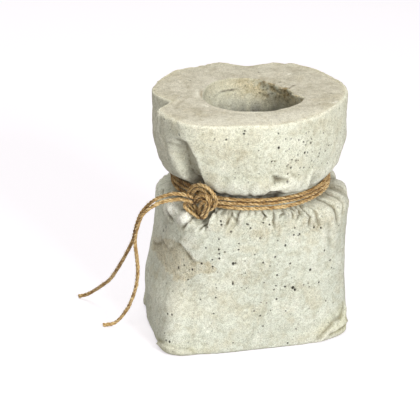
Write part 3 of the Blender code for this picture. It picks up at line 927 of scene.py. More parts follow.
# ---- the head --------------------------------------------------------------
def recess(edge, valley, depth, width, back, seed=0):
    """The cloth tucks in behind an edge, down to a valley, and comes out again in a lobe."""
    global shape, painted_hollow_shade
    de, side_e, _ = near_line(edge, 0.4, seed)
    dv, side_v, _ = near_line(valley, 0.7, seed + 1)
    sink = np.clip(de / width, 0, 1) ** 0.75
    beyond = np.where(side_v > 0, 1 - np.clip(dv / back, 0, 1) ** 0.85, 1.0)
    g = np.where(side_e > 0, sink * beyond, 0.0) * step01(de, 24, 15)
    shape = shape - depth * g
    # painted shade on the tucked-in facet and along the valley
    painted_hollow_shade = painted_hollow_shade + np.where((side_e > 0) & (side_v < 0), 0.75 * np.clip(de / 1.2, 0, 1) * step01(Z, 158, 149) * step01(Z, 110, 115), 0)
    painted_hollow_shade = painted_hollow_shade + np.where(side_e > 0, 0.5 * np.exp(-((dv / 1.0) ** 2)) * step01(Z, 150, 135), 0)
    shape = shape + 0.35 * np.exp(-((de / 1.0) ** 2))


def facets(corners, faces):
    """Flat facets of creased cloth: corners are (angle, height, outward shift in mm)."""
    global shape, painted_hollow_shade
    wx, wz = 0.5 * noise(P, 4.0, 62), 0.5 * noise(P, 4.0, 63)
    add = np.zeros(len(ANG))
    for ids in faces:
        (a0, z0, h0), (a1, z1, h1), (a2, z2, h2) = (corners[k] for k in ids)
        x = ((ANG - a0 + 180) % 360 - 180) * DEG + wx
        y = Z - z0 + wz
        x1, y1, x2, y2 = (a1 - a0) * DEG, z1 - z0, (a2 - a0) * DEG, z2 - z0
        det = x1 * y2 - x2 * y1
        p, q = (x * y2 - x2 * y) / det, (x1 * y - x * y1) / det
        add = np.where((p >= 0) & (q >= 0) & (p + q <= 1), 1.35 * (h0 + p * (h1 - h0) + q * (h2 - h0)), add)
    shape = shape + add
    # painted shade on the sunken facets
    painted_hollow_shade = painted_hollow_shade + 0.45 * np.clip(-add, 0, 2.8)


# Lines run upwards, so that the lobe is on their left.
recess(
    [(-131, 112), (-131, 121), (-132, 131), (-134, 142), (-136.5, 150), (-139, 155), (-143, 157), (-147.5, 156), (-152, 152)],
    [(-145, 112), (-144, 124), (-143.5, 133), (-144, 141), (-145, 149), (-147, 155)],
    6.6, 8.4, 11.0, 1,
)
ridge([(-156, 151), (-150, 151.5), (-145, 150)], 1.1, 1.6, 0.1, 0.1, seed=44)
ridge([(-153, 149), (-152, 140), (-150, 133), (-148, 126), (-148, 119.5)], 1.0, 3.4, 0.1, 0.05, seed=3)
ridge([(-162, 168), (-164, 154.5), (-158, 145)], 1.0, 1.4, 0.0, 0.2, seed=4)
# a crumple low on the right
facets(
    [(-90, 133, 0.5), (-74.5, 128.5, 1.3), (-84, 126, -2.4), (-90, 122.5, 1.4), (-81, 122.8, 1.9),
     (-87, 118.5, -2.6), (-76, 114.5, 0.3), (-70.5, 120.5, 1.3), (-95, 117, 0.2), (-65, 124, 0.1),
     (-64, 115, 2.0), (-57.5, 131, 0.9), (-59.5, 120, -1.8), (-52, 116, 0.3), (-49, 126, 0.2)],
    [(0, 1, 2), (0, 2, 3), (2, 1, 4), (2, 4, 3), (3, 4, 5), (3, 5, 8), (4, 6, 5), (5, 6, 8), (4, 1, 7),
     (4, 7, 6), (7, 10, 6), (1, 9, 7), (7, 9, 10), (9, 11, 10), (10, 11, 12), (10, 12, 13), (12, 14, 13), (11, 14, 12)],
)
crease([(-120, 118), (-117, 125), (-116, 134)], 0.8, 2.6, 0.4, 0.0, 0.5, dark=0.1, seed=9)
crease([(-104, 116), (-102, 122), (-99, 128)], 0.7, 1.6, 0.4, 0.0, 0.5, dark=0.1, seed=10)
# the head's right side hangs lower and fuller
shape = shape + 2.6 * step01(Z, 118.5, 126) * step01(Z, 150, 134) * step01(np.abs(turn_from(np.radians(ANG), -12.0)), 34, 12)


def lump(a, z, across, tall, height, lean=0.0):
    """A rounded lump on the wall, across and tall in mm."""
    global shape
    x = ((ANG - a + 180) % 360 - 180) * DEG
    y = Z - z
    x, y = x + lean * y, y - lean * x
    shape = shape + height * np.exp(-((x / across) ** 2 + (y / tall) ** 2))


# ---- under the twine -------------------------------------------------------
lump(-161.0, 97.0, 6.6, 4.4, 3.8, 0.5)
lump(-147.5, 94.5, 4.8, 3.8, 2.6, 0.5)
lump(-165.0, 92.0, 4.0, 6.0, 1.0, 0.3)
lump(-137.0, 93.0, 3.0, 4.0, 0.9, 0.3)
crease([(-143.0, 99), (-142.5, 94.5), (-145.0, 89.5), (-147, 87)], 1.8, 0.9, 0.4, 0.1, 0.3, dark=0.8, seed=12)
crease([(-131.0, 101), (-132.5, 97), (-134.5, 90), (-136, 87)], 2.2, 0.9, 0.5, 0.0, 0.35, dark=1.1, seed=13)
crease([(-151.5, 104), (-151, 98.5)], 2.2, 2.8, 0.2, 0.0, 0.3, dark=0.6, seed=14)
crease([(-168, 101), (-165.5, 96), (-160, 91.5), (-155, 90)], 1.6, 1.2, 0.4, 0.1, 0.3, dark=0.6, seed=15)
crease([(-174, 102), (-173, 94), (-171, 88)], 1.8, 1.8, 0.4, 0.0, 0.35, dark=0.6, seed=22)
fold([(-107, 110), (-109.2, 107), (-110.8, 102.8), (-112.5, 99), (-113.8, 94)], 2.8, 5.0, 0.5, 0.0, 0.3, which=1, dark=1.7, seed=11)
crease([(-121, 107), (-123, 103.5), (-125.5, 100)], 1.2, 1.6, 0.5, 0.0, 0.4, dark=0.4, seed=16)
crease([(-103, 105), (-105.5, 101.5), (-108.5, 99.5)], 1.0, 1.0, 0.5, 0.1, 0.4, dark=0.5, seed=17)
crease([(-100, 107), (-100.5, 102), (-101.5, 99)], 1.4, 1.0, 0.5, 0.0, 0.4, dark=0.6, seed=18)
crease([(-94.5, 107), (-95, 102), (-95, 99)], 1.2, 1.0, 0.5, 0.0, 0.4, dark=0.5, seed=19)
crease([(-79, 106), (-80.5, 101), (-81, 98)], 1.6, 1.1, 0.5, 0.0, 0.4, dark=0.6, seed=20)
crease([(-67.5, 106), (-69, 100), (-71, 96)], 1.8, 1.2, 0.5, 0.0, 0.4, dark=0.6, seed=21)
crease([(-44, 105), (-45, 97), (-44, 88), (-45, 80)], 1.3, 1.6, 0.4, 0.0, 0.4, dark=0.55, seed=23)
lump(-38, 97, 4.5, 7.0, 1.2, 0.1)
lump(-8, 97.5, 9.0, 5.0, 3.2)
lump(14, 98, 7.0, 4.5, 2.6)
lump(-26, 92, 6.0, 5.0, 1.4)
crease([(-28, 104), (-35, 97), (-39, 88)], 1.6, 1.8, 0.5, 0.0, 0.4, dark=0.4, seed=25)
crease([(-58, 101), (-58.5, 94), (-57, 85)], 0.9, 1.3, 0.3, 0.1, 0.4, dark=0.6, seed=24)
lump(-50, 94, 4.0, 9.0, 0.9, 0.1)
crease([(-52, 92), (-50, 76), (-51, 60)], 0.9, 2.4, 0.4, 0.2, 0.4, dark=0.2, seed=26)

crease([(-171, 98.0), (-173, 95), (-171.5, 92)], 1.8, 0.8, 0.4, 0.1, 0.1, dark=1.7, seed=151)
crease([(-178, 104), (-170, 101.5), (-161, 103)], 1.6, 1.1, 0.5, 0.1, 0.3, dark=1.3, seed=152)
crease([(176, 100), (-178, 98.5), (-170, 100)], 1.4, 1.0, 0.5, 0.1, 0.3, dark=1.2, seed=153)

wrinkle = rng(77)
for k in range(24):
    a, z = wrinkle.uniform(-138, -62), wrinkle.uniform(101, 106)
    drop, drift = wrinkle.uniform(5, 13), wrinkle.normal() * 5.0
    points = [(a, z), (a + 0.35 * drift + wrinkle.normal() * 0.8, z - 0.5 * drop), (a + drift, z - drop)]
    if wrinkle.random() < 0.6:
        crease(points, wrinkle.uniform(0.7, 1.5), wrinkle.uniform(0.55, 0.95), 0.6, 0.05, 0.5, dark=wrinkle.uniform(0.4, 1.1), seed=80 + k)
    else:
        ridge(points, wrinkle.uniform(0.7, 1.5), wrinkle.uniform(0.7, 1.3), 0.1, 0.5, seed=80 + k)
for points, dark in (
    ([(-180, 106), (-172, 103), (-162, 102)], 1.0), ([(178, 101), (-176, 99), (-168, 100)], 0.8),
    ([(170, 99), (176, 96), (-178, 94)], 0.7), ([(-14, 101), (-18, 94), (-27, 90)], 0.7),
    ([(-66, 101), (-63, 95), (-66, 88)], 0.9), ([(-86, 103), (-89, 96), (-88, 90)], 0.8),
):
    crease(points, 1.3, 0.9, 0.5, 0.1, 0.3, dark=dark, seed=int(abs(points[0][0])) + 120)

# ---- the lower sack --------------------------------------------------------
fold([(161, 54.5), (172, 58), (-176, 63), (-169, 69.5), (-158, 68), (-148, 75.5)], 1.5, 9.0, 0.9, which=1, dark=0.45, seed=27)
fold([(-148, 78.5), (-143, 74.5), (-138.5, 70), (-135, 65)], 1.7, 8.0, 0.7, 0.1, 0.2, which=1, dark=0.8, seed=28)
ridge([(-100.7, 166), (-97, 129), (-96.5, 118)], 0.32, 0.8, 0.1, 0.0, 0.3, seed=29)
ridge([(-96, 98), (-94.5, 80), (-93, 60), (-92.5, 37), (-97, 11), (-99.5, 3)], 0.38, 0.9, 0.1, 0.1, 0.3, seed=30)
# the folded front corners: a flat tuck with a crease over it
fold([(-58, 0.5), (-53, 3.5), (-49, 8.0), (-44, 12.0), (-37.5, 13.5), (-34.5, 18), (-33, 24)], 2.9, 8.0, 0.5, 0.1, 0.15, which=-1, dark=0.9, seed=31)
shape = shape - 1.8 * bump_at((turn_from(np.radians(ANG), -24.0) * DEG / 1.0) ** 2 + ((Z - 10.0) / 1.0) ** 2, 20.0)
ridge([(-47, 5.5), (-41, 8.5), (-35, 9.5), (-31, 9)], 1.3, 1.3, 0.2, 0.1, seed=32)
crease([(-50, 4), (-43, 5.2), (-36, 6.0), (-32, 6)], 1.4, 1.0, 0.3, 0.2, 0.1, dark=0.3, seed=43)
fold([(-160, 0.5), (-155, 4.0), (-148, 7.0), (-142, 6.4), (-138.5, 4.0), (-134, 0.5)], 2.4, 7.0, 0.6, 0.1, 0.1, which=-1, dark=0.6, seed=33)
# and the same at the back
fold([(25, 1), (33, 8), (44, 13), (54, 9), (62, 2)], 2.4, 8.0, 0.7, 0.1, 0.1, which=-1, dark=0.5, seed=34)
fold([(118, 1), (127, 8), (138, 12), (148, 8), (156, 2)], 2.4, 8.0, 0.7, 0.1, 0.1, which=-1, dark=0.5, seed=35)
crease([(60, 70), (78, 52), (96, 40), (112, 22)], 1.2, 3.0, 0.4, 0.25, 0.3, dark=0.2, seed=36)
crease([(150, 90), (140, 70), (138, 46)], 1.2, 2.8, 0.4, 0.1, 0.4, dark=0.2, seed=37)
crease([(5, 92), (2, 70), (4, 44)], 1.0, 3.0, 0.4, 0.1, 0.4, dark=0.2, seed=38)
ridge([(80, 166), (84, 140), (88, 118)], 1.2, 2.4, 0.1, 0.1, seed=39)
crease([(60, 162), (66, 140), (60, 122)], 1.6, 3.2, 0.4, 0.3, 0.1, dark=0.2, seed=40)
crease([(120, 156), (114, 138), (118, 120)], 1.8, 3.4, 0.4, 0.3, 0.1, dark=0.2, seed=41)
crease([(20, 150), (14, 134), (18, 120)], 1.4, 3.0, 0.4, 0.3, 0.1, dark=0.2, seed=42)

# ---- gathers all round, above and below the twine ---------------------------
ring_at = np.stack([66 * np.cos(np.radians(ANG + 0.25 * (Z - 100))), 66 * np.sin(np.radians(ANG + 0.25 * (Z - 100))), Z * 0.18], -1)
pleat = noise(ring_at, 7.5, 71) + 0.5 * noise(ring_at, 3.6, 72)
pleat = 0.75 - np.abs(pleat) * 1.9  # sharp crests between round hollows
low_band = step01(Z, 80, 99) * step01(Z, 108, 102)
back = step01(np.abs(turn_from(np.radians(ANG), 70.0)), 135, 95)
calm = 1 - 0.8 * step01(ANG, -90, -76) * step01(ANG, 24, 4)
shape = shape + pleat * low_band * (0.40 + 0.9 * back) * (0.5 + 0.8 * step01(noise(P, 16.0, 78), -0.4, 0.4)) * calm
ring_at = np.stack([66 * np.cos(np.radians(ANG - 0.2 * (Z - 118))), 66 * np.sin(np.radians(ANG - 0.2 * (Z - 118))), Z * 0.14], -1)
pleat = noise(ring_at, 9.0, 73) + 0.4 * noise(ring_at, 4.0, 74)
high_band = step01(Z, 146, 120) * step01(Z, 113, 119)
shape = shape + (0.6 - np.abs(pleat) * 1.6) * high_band * (0.30 + 0.8 * back)

# ---- slackness of the cloth --------------------------------------------------
slack = step01(Z, 97, 88) + step01(Z, 118, 124)
shape = shape + slack * (0.85 * noise(P, 34.0, 75) + 0.42 * noise(P, 15.0, 76))
facets = np.abs(noise(P, 20.0, 77))
shape = shape - slack * 0.55 * (0.5 - np.minimum(facets * 2.2, 0.5))
hold = step01(Z, 0.0, 3.0) * step01(Z, 168, 166.6)
neck_free = 1 - step01(Z, 100.5, 103.4) * step01(Z, 118.6, 115.8)
shape = np.where(Z > 60, shape * (0.12 + 0.88 * neck_free), shape)
front = step01(np.abs(turn_from(np.radians(ANG), -75.0)), 62, 44)
shape = shape + 2.6 * front * step01(Z, 115.7, 117.6) * step01(Z, 131, 120)
# painted shade in the gap under the head, and lighter painted shade along the neck under the twine
painted_hollow_shade = painted_hollow_shade + 0.9 * step01(Z, 113, 116) * step01(Z, 119.2, 117.6) + 0.5 * step01(Z, 99, 103) * step01(Z, 119, 117)
P = P + N * (shape * wall * (0.25 + 0.75 * hold))[:, None]

# ---- flat top: a soft crust, higher at the back rim --------------------------
rim_share = np.zeros(len(P))
far = np.hypot(P[:, 0], P[:, 1])
edge_in = rim_radius(np.radians(ANG)) * 0.985 - far
lift = 0.35 * fbm(P, 22.0, 3, 80) + 0.12 * fbm(P, 5.0, 3, 81)
for a, w, h in ((94.7, 7, 0.7), (85.0, 3.5, -0.3), (77.9, 6, -0.7), (65.0, 4, 0.6), (53.7, 5, 0.6), (39.6, 8, 0.2), (120, 10, 0.5), (150, 8, -0.4), (19.9, 5, -0.5)):
    lift = lift + h * np.exp(-((turn_from(np.radians(ANG), a) / w) ** 2)) * np.exp(-np.maximum(edge_in, 0) / 7.0)
P[:, 2] += lift * np.maximum(on_top, wall * step01(Z, 163.5, 168)) * np.where(on_top > 0, 1, 1)
write(P)

# ---- pocket: broken lip, groove and softened edge -----------------------------
N = read("normal")
if (P[:, :2] * N[:, :2])[wall > 0.9].sum() < 0:
    N = -N
pa = np.degrees(np.arctan2(P[:, 1] - POCKET[1], P[:, 0] - POCKET[0]))
broken = step01(pa, -30, -8) * step01(pa, 84, 50)
depth_in = HEIGHT - Z
rough = np.abs(fbm(P, 5.0, 4, 82, 0.6)) * 2.6 - 0.8 + 0.5 * noise(P, 1.7, 83)
wall_zone = in_pocket * step01(depth_in, 1.0, 3.0) * step01(depth_in, 24, 10)
small = rough * broken * wall_zone * 0.9
groove = np.exp(-(((depth_in - 7.2 - 0.8 * noise(P, 9.0, 84)) / 0.42) ** 2)) * in_pocket * step01(pa, 78, 98) * step01(pa, 140, 112)
small = small - 0.5 * groove
small = small + in_pocket * step01(depth_in, 0.5, 2.0) * 0.22 * fbm(P, 6.0, 3, 85)
P = P + N * small[:, None]
# the mouth's edge is uneven, most of all where it broke
near_mouth = np.exp(-((np.hypot(P[:, 0] - POCKET[0], P[:, 1] - POCKET[1]) - mouth_radius(np.radians(pa))) / 1.8) ** 2) * step01(depth_in, 3.0, 0.8) * np.maximum(on_top, in_pocket)
jag = (fbm(P, 4.2, 3, 86, 0.6) * 1.5) * broken + 0.45 * fbm(P, 6.0, 3, 87)
radial = np.stack([np.cos(np.radians(pa)), np.sin(np.radians(pa)), 0 * pa], -1)
P = P + radial * (jag * near_mouth)[:, None]
P[:, 2] += near_mouth * (0.3 * noise(P, 3.0, 88) - 0.15) * broken

# ---- grain of the cast surface, then the air holes -----------------------------
write(P)
N = read("normal")
if (P[:, :2] * N[:, :2])[wall > 0.9].sum() < 0:
    N = -N
PATCH = [(161, 56), (172, 62), (-176, 68), (-163, 73), (-152, 76.5), (-144, 76), (-139.5, 73), (-134, 67), (-128, 66.5), (-122, 63),
         (-128, 59), (-134, 56), (-140.5, 51.5), (-147, 49), (-155, 52), (-167, 53), (175, 52), (162, 48)]


def inside(table, warp=1.6, seed=0):
    """1 inside a closed outline of (angle, height) on the wall, 0 outside."""
    p = np.array(table, float)
    mid_a = -155.0
    x = ((ANG - mid_a + 180) % 360 - 180) * DEG + warp * noise(P, 4.0, seed + 64)
    y = Z + warp * noise(P, 4.0, seed + 65)
    px, py = ((p[:, 0] - mid_a + 180) % 360 - 180) * DEG, p[:, 1]
    odd = np.zeros(len(x), bool)
    for k in range(len(p)):
        x0, y0, x1, y1 = px[k - 1], py[k - 1], px[k], py[k]
        if y0 == y1:
            continue
        odd ^= ((y0 > y) != (y1 > y)) & (x < (x1 - x0) * (y - y0) / (y1 - y0) + x0)
    return odd.astype(float) * wall


patch = inside(PATCH)
grit = blot(-62, 93, 30, 9, 4, 50) + 0.8 * blot(-92, 88, 20, 8, 4, 51) + 0.6 * blot(-118, 95, 16, 7, 4, 52)
grit = grit + 0.7 * blot(-62, 140, 26, 16, 5, 53) + 0.6 * blot(-112, 148, 10, 9, 4, 54) + 0.5 * blot(-75, 46, 8, 7, 4, 55)
grit = grit + 0.6 * blot(-104, 58, 16, 8, 5, 56) + 0.5 * blot(-150, 10, 24, 6, 4, 57) + 0.5 * blot(-168, 96, 18, 12, 4, 58)
grit = grit + 0.9 * step01(np.abs(turn_from(np.radians(ANG), 80.0)), 110, 80) * step01(fbm(P, 24.0, 3, 97), -0.05, 0.3)
grit = np.clip(grit * step01(fbm(P, 9.0, 3, 98), -0.5, 0.25), 0, 1)
grit = np.maximum(grit, patch * step01(fbm(P, 6.0, 2, 99), -0.8, 0.1))
grain = 0.17 * fbm(P, 5.5, 3, 91) + (0.15 + 0.12 * grit) * fbm(P, 2.3, 2, 92)
grain = grain + patch * (0.30 * fbm(P, 3.0, 3, 93, 0.6) - 0.28)
P = P + N * (grain * np.where(in_pocket > 0.5, 0.8, 1.0) * step01(K, -0.1, 0.9))[:, None]
dark_hole = np.zeros(len(P))
tree = KDTree(len(P))
base_P = read("co")
for i, p in enumerate(base_P):
    tree.insert(p, i)
tree.balance()
wallish = wall > 0.5
for c, r in zip(centres, pit_r):
    # the surface has moved since the table was made, so the hole sits on the nearest point
    near, i, far_off = tree.find(Vector(c))
    if far_off > 6:
        continue
    mid = base_P[i]
    ids = np.array([j for _, j, _ in tree.find_range(Vector(mid), 2.2 * r + 0.3)])
    stretch = rng(i).uniform(0.75, 1.25)
    off = base_P[ids] - mid
    off[:, 2] *= stretch
    d = np.linalg.norm(off, axis=1) / r
    bowl = np.clip(1 - d**2, 0, 1) ** 0.6
    P[ids] -= N[ids] * (bowl * r * 1.25)[:, None]
    dark_hole[ids] = np.maximum(dark_hole[ids], step01(d, 1.2, 0.65))
write(P)

# ---- chips along the rim ---------------------------------------------------
rim_zone = np.maximum(wall * step01(Z, 164.5, 167.6), on_top * step01(edge_in, 3.0, 0.5))
chip = np.clip(fbm(P, 6.0, 3, 95, 0.6) - 0.10, 0, 1) * 3.0 + 0.5 * np.clip(noise(P, 2.4, 96), 0, 1)
inward = np.stack([-P[:, 0] / far, -P[:, 1] / far, -0.9 + 0 * far], -1)
P = P + inward * (chip * rim_zone * 0.75)[:, None]
write(P)

# ---- hollows and crests, from the finished shape, for painted shade and highlight ---
EDGES = np.zeros(len(cast_mesh.edges) * 2, np.int32)
cast_mesh.edges.foreach_get("vertices", EDGES)
EDGES = EDGES.reshape(-1, 2)
JOINED = np.bincount(EDGES.ravel(), minlength=len(P))[:, None]


def smoothed(values, times):
    for _ in range(times):
        total = np.stack(
            [
                np.bincount(EDGES[:, 0], values[EDGES[:, 1], k], len(P))
                + np.bincount(EDGES[:, 1], values[EDGES[:, 0], k], len(P))
                for k in range(values.shape[1])
            ], -1,
        )
        values = 0.4 * values + 0.6 * total / JOINED
    return values


NOW = read("normal")
if (P[:, :2] * NOW[:, :2])[wall > 0.9].sum() < 0:
    NOW = -NOW
sunk = ((smoothed(P, 5) - P) * NOW).sum(axis=1) + 0.5 * ((smoothed(P, 18) - P) * NOW).sum(axis=1)
sunk = sunk - 0.09
plain_edge = step01(Z, 166.6, 164.0) * step01(Z, 0.4, 2.0) * wall + on_top * step01(edge_in, 0.6, 2.5) * (1 - near_mouth)
sunk = smoothed(sunk[:, None], 1)[:, 0] * plain_edge

# ============================================================ colours of the cast
def C(r, g, b):
    return np.array(lin(r, g, b))


def tint(base, colour, amount):
    amount = np.clip(amount, 0, 1)[:, None]
    return base * (1 - amount) + colour * amount


body = C(214, 217, 203) * np.ones((len(P), 1))
broad = fbm(P, 40.0, 3, 110)
mid = fbm(P, 12.0, 4, 111, 0.6)
small_mid = fbm(P, 5.5, 3, 116, 0.6)
fine = fbm(P, 3.0, 3, 112, 0.6)
col = tint(body, C(226, 224, 205), step01(broad, 0.0, 0.5) * 0.55)
col = tint(col, C(204, 208, 194), step01(-broad, 0.0, 0.5) * 0.55)
col = tint(col, C(204, 196, 168), step01(mid, 0.10, 0.55) * 0.42)
col = tint(col, C(233, 233, 220), step01(-mid, 0.15, 0.5) * 0.50)
col = tint(col, C(196, 190, 166), step01(small_mid, 0.15, 0.6) * 0.34)
col = tint(col, C(236, 236, 224), step01(-small_mid, 0.2, 0.6) * 0.30)
col = tint(col, C(186, 180, 158), step01(fine, 0.2, 0.6) * 0.30)
# the head is warmer than the body
col = tint(col, C(226, 224, 198), 0.25 * step01(Z, 117, 130) * wall)
# tan stains
for k, (a, z, w, t, s) in enumerate((
    (-112, 146, 9, 7, 0.50), (-118, 150, 6, 8, 0.35), (-75, 133, 12, 8, 0.25), (-85, 120, 8, 6, 0.3),
    (-104, 161, 4, 5, 0.35), (-70, 160, 18, 4, 0.3), (-50, 158, 14, 6, 0.3), (-96, 164, 8, 3, 0.3),
    (-60, 94, 16, 9, 0.55), (-45, 90, 12, 10, 0.5), (-90, 90, 18, 6, 0.4), (-120, 95, 10, 5, 0.35), (-168, 100, 10, 6, 0.4),
    (-104, 57, 16, 7, 0.30), (-112, 56, 10, 4, 0.35), (-165, 104, 12, 6, 0.3), (-35, 100, 10, 10, 0.4),
    (-70, 44, 6, 5, 0.35), (-150, 118, 8, 5, 0.3), (80, 60, 30, 20, 0.3),
    (30, 120, 20, 14, 0.3), (120, 130, 18, 16, 0.35), (40, 30, 25, 14, 0.3),
)):
    col = tint(col, C(190, 180, 150), blot(a, z, w, t, 4.0, k) * s * (0.7 + 0.8 * fine + 0.5 * mid) * wall)
col = tint(col, C(217, 208, 180), patch * (0.62 + 0.5 * fine))
col = tint(col, C(172, 162, 134), grit * step01(fine, 0.05, 0.5) * 0.36 * wall)
col = tint(col, C(158, 148, 122), (blot(-20, 98, 11, 8, 2, 47) + 0.8 * blot(8, 98, 12, 6, 2, 48)) * (0.62 + 0.5 * small_mid) * wall)
col = tint(col, C(150, 142, 120), blot(-174, 103, 11, 5, 2, 49) * (0.45 + 0.6 * small_mid) * wall)
# painted highlight on the two lobes under the knot
painted_lobe_highlight = np.clip(1.5 * blot(-161.5, 96.8, 6.6, 4.4, 1.0, 45) + 1.5 * blot(-147.5, 94.6, 5.0, 3.8, 1.0, 46), 0, 1)
col = tint(col, C(252, 253, 246), painted_lobe_highlight * 0.95 * wall)
# yellow-green by the base corners
yellow = blot(-36, 8, 15, 9, 3, 40) + blot(-147, 3, 18, 4, 2, 41) + 0.5 * blot(45, 8, 20, 9, 3, 42) + 0.5 * blot(135, 8, 20, 9, 3, 43)
col = tint(col, C(206, 202, 158), yellow * 0.65 * wall)
# painted shade in creases, hollows and under the head
col = tint(col, C(92, 80, 56), np.clip(painted_hollow_shade, 0, 1.5) * 0.48 * wall)
# painted shadow: near-black in the gap between the head and the twine
painted_gap_shadow = step01(np.abs(turn_from(np.radians(ANG), -112.0)), 44, 24) * step01(Z, 108, 112) * step01(Z, 119.5, 117.2)
col = tint(col, C(36, 29, 20), painted_gap_shadow * (0.75 + 0.5 * small_mid) * wall)
# lighter where the cloth stands out
col = tint(col, C(235, 232, 220), np.clip(shape, 0, 2.0) * 0.10 * wall)
# painted shade: the head's left third is greyer
col = tint(col, C(186, 180, 164), step01(np.abs(turn_from(np.radians(ANG), 180.0)), 45, 10) * step01(Z, 100, 118) * 0.45 * wall)
# flat top
top_col = C(208, 202, 184) * np.ones((len(P), 1))
streaks = fbm(P, 6.0, 4, 113, 0.65)
top_col = tint(top_col, C(222, 216, 199), step01(streaks, 0.0, 0.5) * 0.65)
top_col = tint(top_col, C(184, 176, 154), step01(-streaks, 0.05, 0.5) * 0.55)
top_col = tint(top_col, C(194, 182, 150), step01(mid, 0.1, 0.6) * 0.40)
front_top = step01(P[:, 1], -30, -52)
top_col = tint(top_col, C(238, 234, 218), front_top * 0.75)
top_col = tint(top_col, C(214, 206, 172), np.exp(-np.maximum(edge_in, 0) / 3.0) * 0.5)
# painted highlight along the front edge of the rim
arris = np.exp(-((edge_in / 1.3) ** 2)) * step01(P[:, 1], 20, -20) * (0.40 + 0.5 * step01(fine, -0.4, 0.4))
top_col = tint(top_col, C(244, 240, 224), arris)
worn = near_mouth * step01(pa, -40, -5) * step01(pa, 95, 60)
top_col = tint(top_col, C(150, 130, 92), worn * (0.35 + 0.6 * fine))
# a crack running back from the mouth's right end
ca, cb = np.array([31.5, 6.5]), np.array([47.0, 15.5])
def along_top(points, x=None):
    """Distance in mm from a line drawn on the flat top, and the share along it."""
    p = np.array(points, float)
    best, share_at = np.full(len(P), 1e9), np.zeros(len(P))
    for k in range(len(p) - 1):
        v = p[k + 1] - p[k]
        t = np.clip(((P[:, :2] - p[k]) @ v) / (v @ v), 0, 1)
        d = np.linalg.norm(P[:, :2] - (p[k] + t[:, None] * v), axis=1)
        share_at = np.where(d < best, (k + t) / (len(p) - 1), share_at)
        best = np.minimum(best, d)
    return best, share_at


for line_on_top, width_on_top, colour_on_top, how_much in (
    ([(26.5, 5.5), (30.3, 9.3), (36.1, 14.9)], 0.7, C(112, 96, 66), 0.9),
    ([(-30.5, 19.0), (-32.8, 9.5), (-34.2, 1.0)], 0.9, C(150, 132, 96), 0.8),
    ([(-33.0, 21.0), (-35.5, 10.0), (-36.2, 3.0)], 1.1, C(240, 236, 220), 0.8),
    ([(-32.9, -18.8), (-36.6, -10.3)], 1.2, C(244, 240, 226), 0.8),
    ([(-24.0, -29.6), (-14.0, -34.2), (-1.1, -35.9), (9.0, -34.6)], 0.9, C(244, 240, 224), 0.8),
    ([(50.5, -29), (55, -25)], 1.3, C(252, 250, 240), 0.9),
    ([(36, 37), (39, 39.5)], 1.2, C(248, 245, 232), 0.8), ([(6.5, -44.6), (6.9, -44.4)], 0.9, C(110, 98, 76), 0.9),
    ([(-60, -14), (-54, -5), (-49, 4)], 1.2, C(238, 233, 216), 0.5),
    ([(-57, -16), (-51, -6), (-46, 2)], 1.0, C(160, 148, 120), 0.35),
):
    d_top, s_top = along_top(line_on_top)
    top_col = tint(top_col, colour_on_top, how_much * np.exp(-((d_top / width_on_top) ** 2)) * (1 - 0.7 * np.abs(2 * s_top - 1) ** 3))
col = tint(col, top_col, on_top)
# light line along the rim
arris = wall * step01(Z, 166.3, 167.4) + on_top * step01(edge_in, 1.0, 0.2)
col = tint(col, C(240, 236, 216), arris * (0.45 + 0.35 * mid))
# pocket
pocket_col = C(208, 206, 186) * np.ones((len(P), 1))
pocket_col = tint(pocket_col, C(214, 214, 198), step01(mid, 0, 0.5) * 0.6)
pocket_col = tint(pocket_col, C(206, 200, 176), step01(depth_in, 9, 3) * step01(pa, 60, 90) * step01(pa, 178, 130) * 0.5)
# grey streaks that grow darker further down the pocket: partly the wall's own streaks, partly painted shade
down = noise(np.stack([P[:, 0] * 1.0, P[:, 1] * 1.0, P[:, 2] * 0.16], -1), 3.4, 117)
pocket_col = tint(pocket_col, C(150, 148, 140), step01(depth_in, 9, 24) * (0.40 + 0.5 * down))
# painted shade deep in the pocket, reaching higher up on its right and front
shady = step01(depth_in + 0.22 * (pa < 100) * np.clip(70 - pa, 0, 110), 19, 36)
pocket_col = tint(pocket_col, C(70, 62, 48), shady * 0.84)
brown = step01(pa, 118, 62) * step01(pa, -40, -10) * step01(depth_in + 4.0 * small_mid, 21, 5)
brown = brown * step01(small_mid + 0.5 * fine, -0.55, 0.25)
pocket_col = tint(pocket_col, C(200, 184, 144), brown * 0.80)
pocket_col = tint(pocket_col, C(148, 126, 88), step01(pa, 88, 60) * step01(pa, -35, -12) * step01(depth_in, 22, 3) * step01(fbm(P, 2.6, 3, 115, 0.6), 0.05, 0.5) * 0.75)
# painted shade in the groove
pocket_col = tint(pocket_col, C(58, 48, 34), groove * 0.9)
col = tint(col, pocket_col, in_pocket)
# painted shade in hollows and a painted highlight on crests, left out in the gap under the head and at the head's tuck
sunk = sunk * (1 - painted_gap_shadow) * (1 - 0.45 * step01(np.abs(turn_from(np.radians(ANG), -148.0)), 14, 6) * step01(Z, 116, 122))
col = tint(col, C(104, 94, 70), np.clip(sunk * 1.0, 0, 0.58))
col = tint(col, C(246, 246, 234), np.clip(-sunk * 0.75, 0, 0.32))
# painted highlight on the wall just under the front rim
col = tint(col, C(240, 237, 220), step01(Z, 165.2, 167.2) * step01(P[:, 1], 20, -20) * wall * 0.6 * step01(fine, -0.5, 0.5))
# painted shade in the air holes
col = tint(col, C(34, 27, 18), dark_hole * np.where(in_pocket > 0.5, 0.6, 0.92))
col = tint(col, C(150, 140, 118), step01(K, 0.9, 0.2) * 0.25)

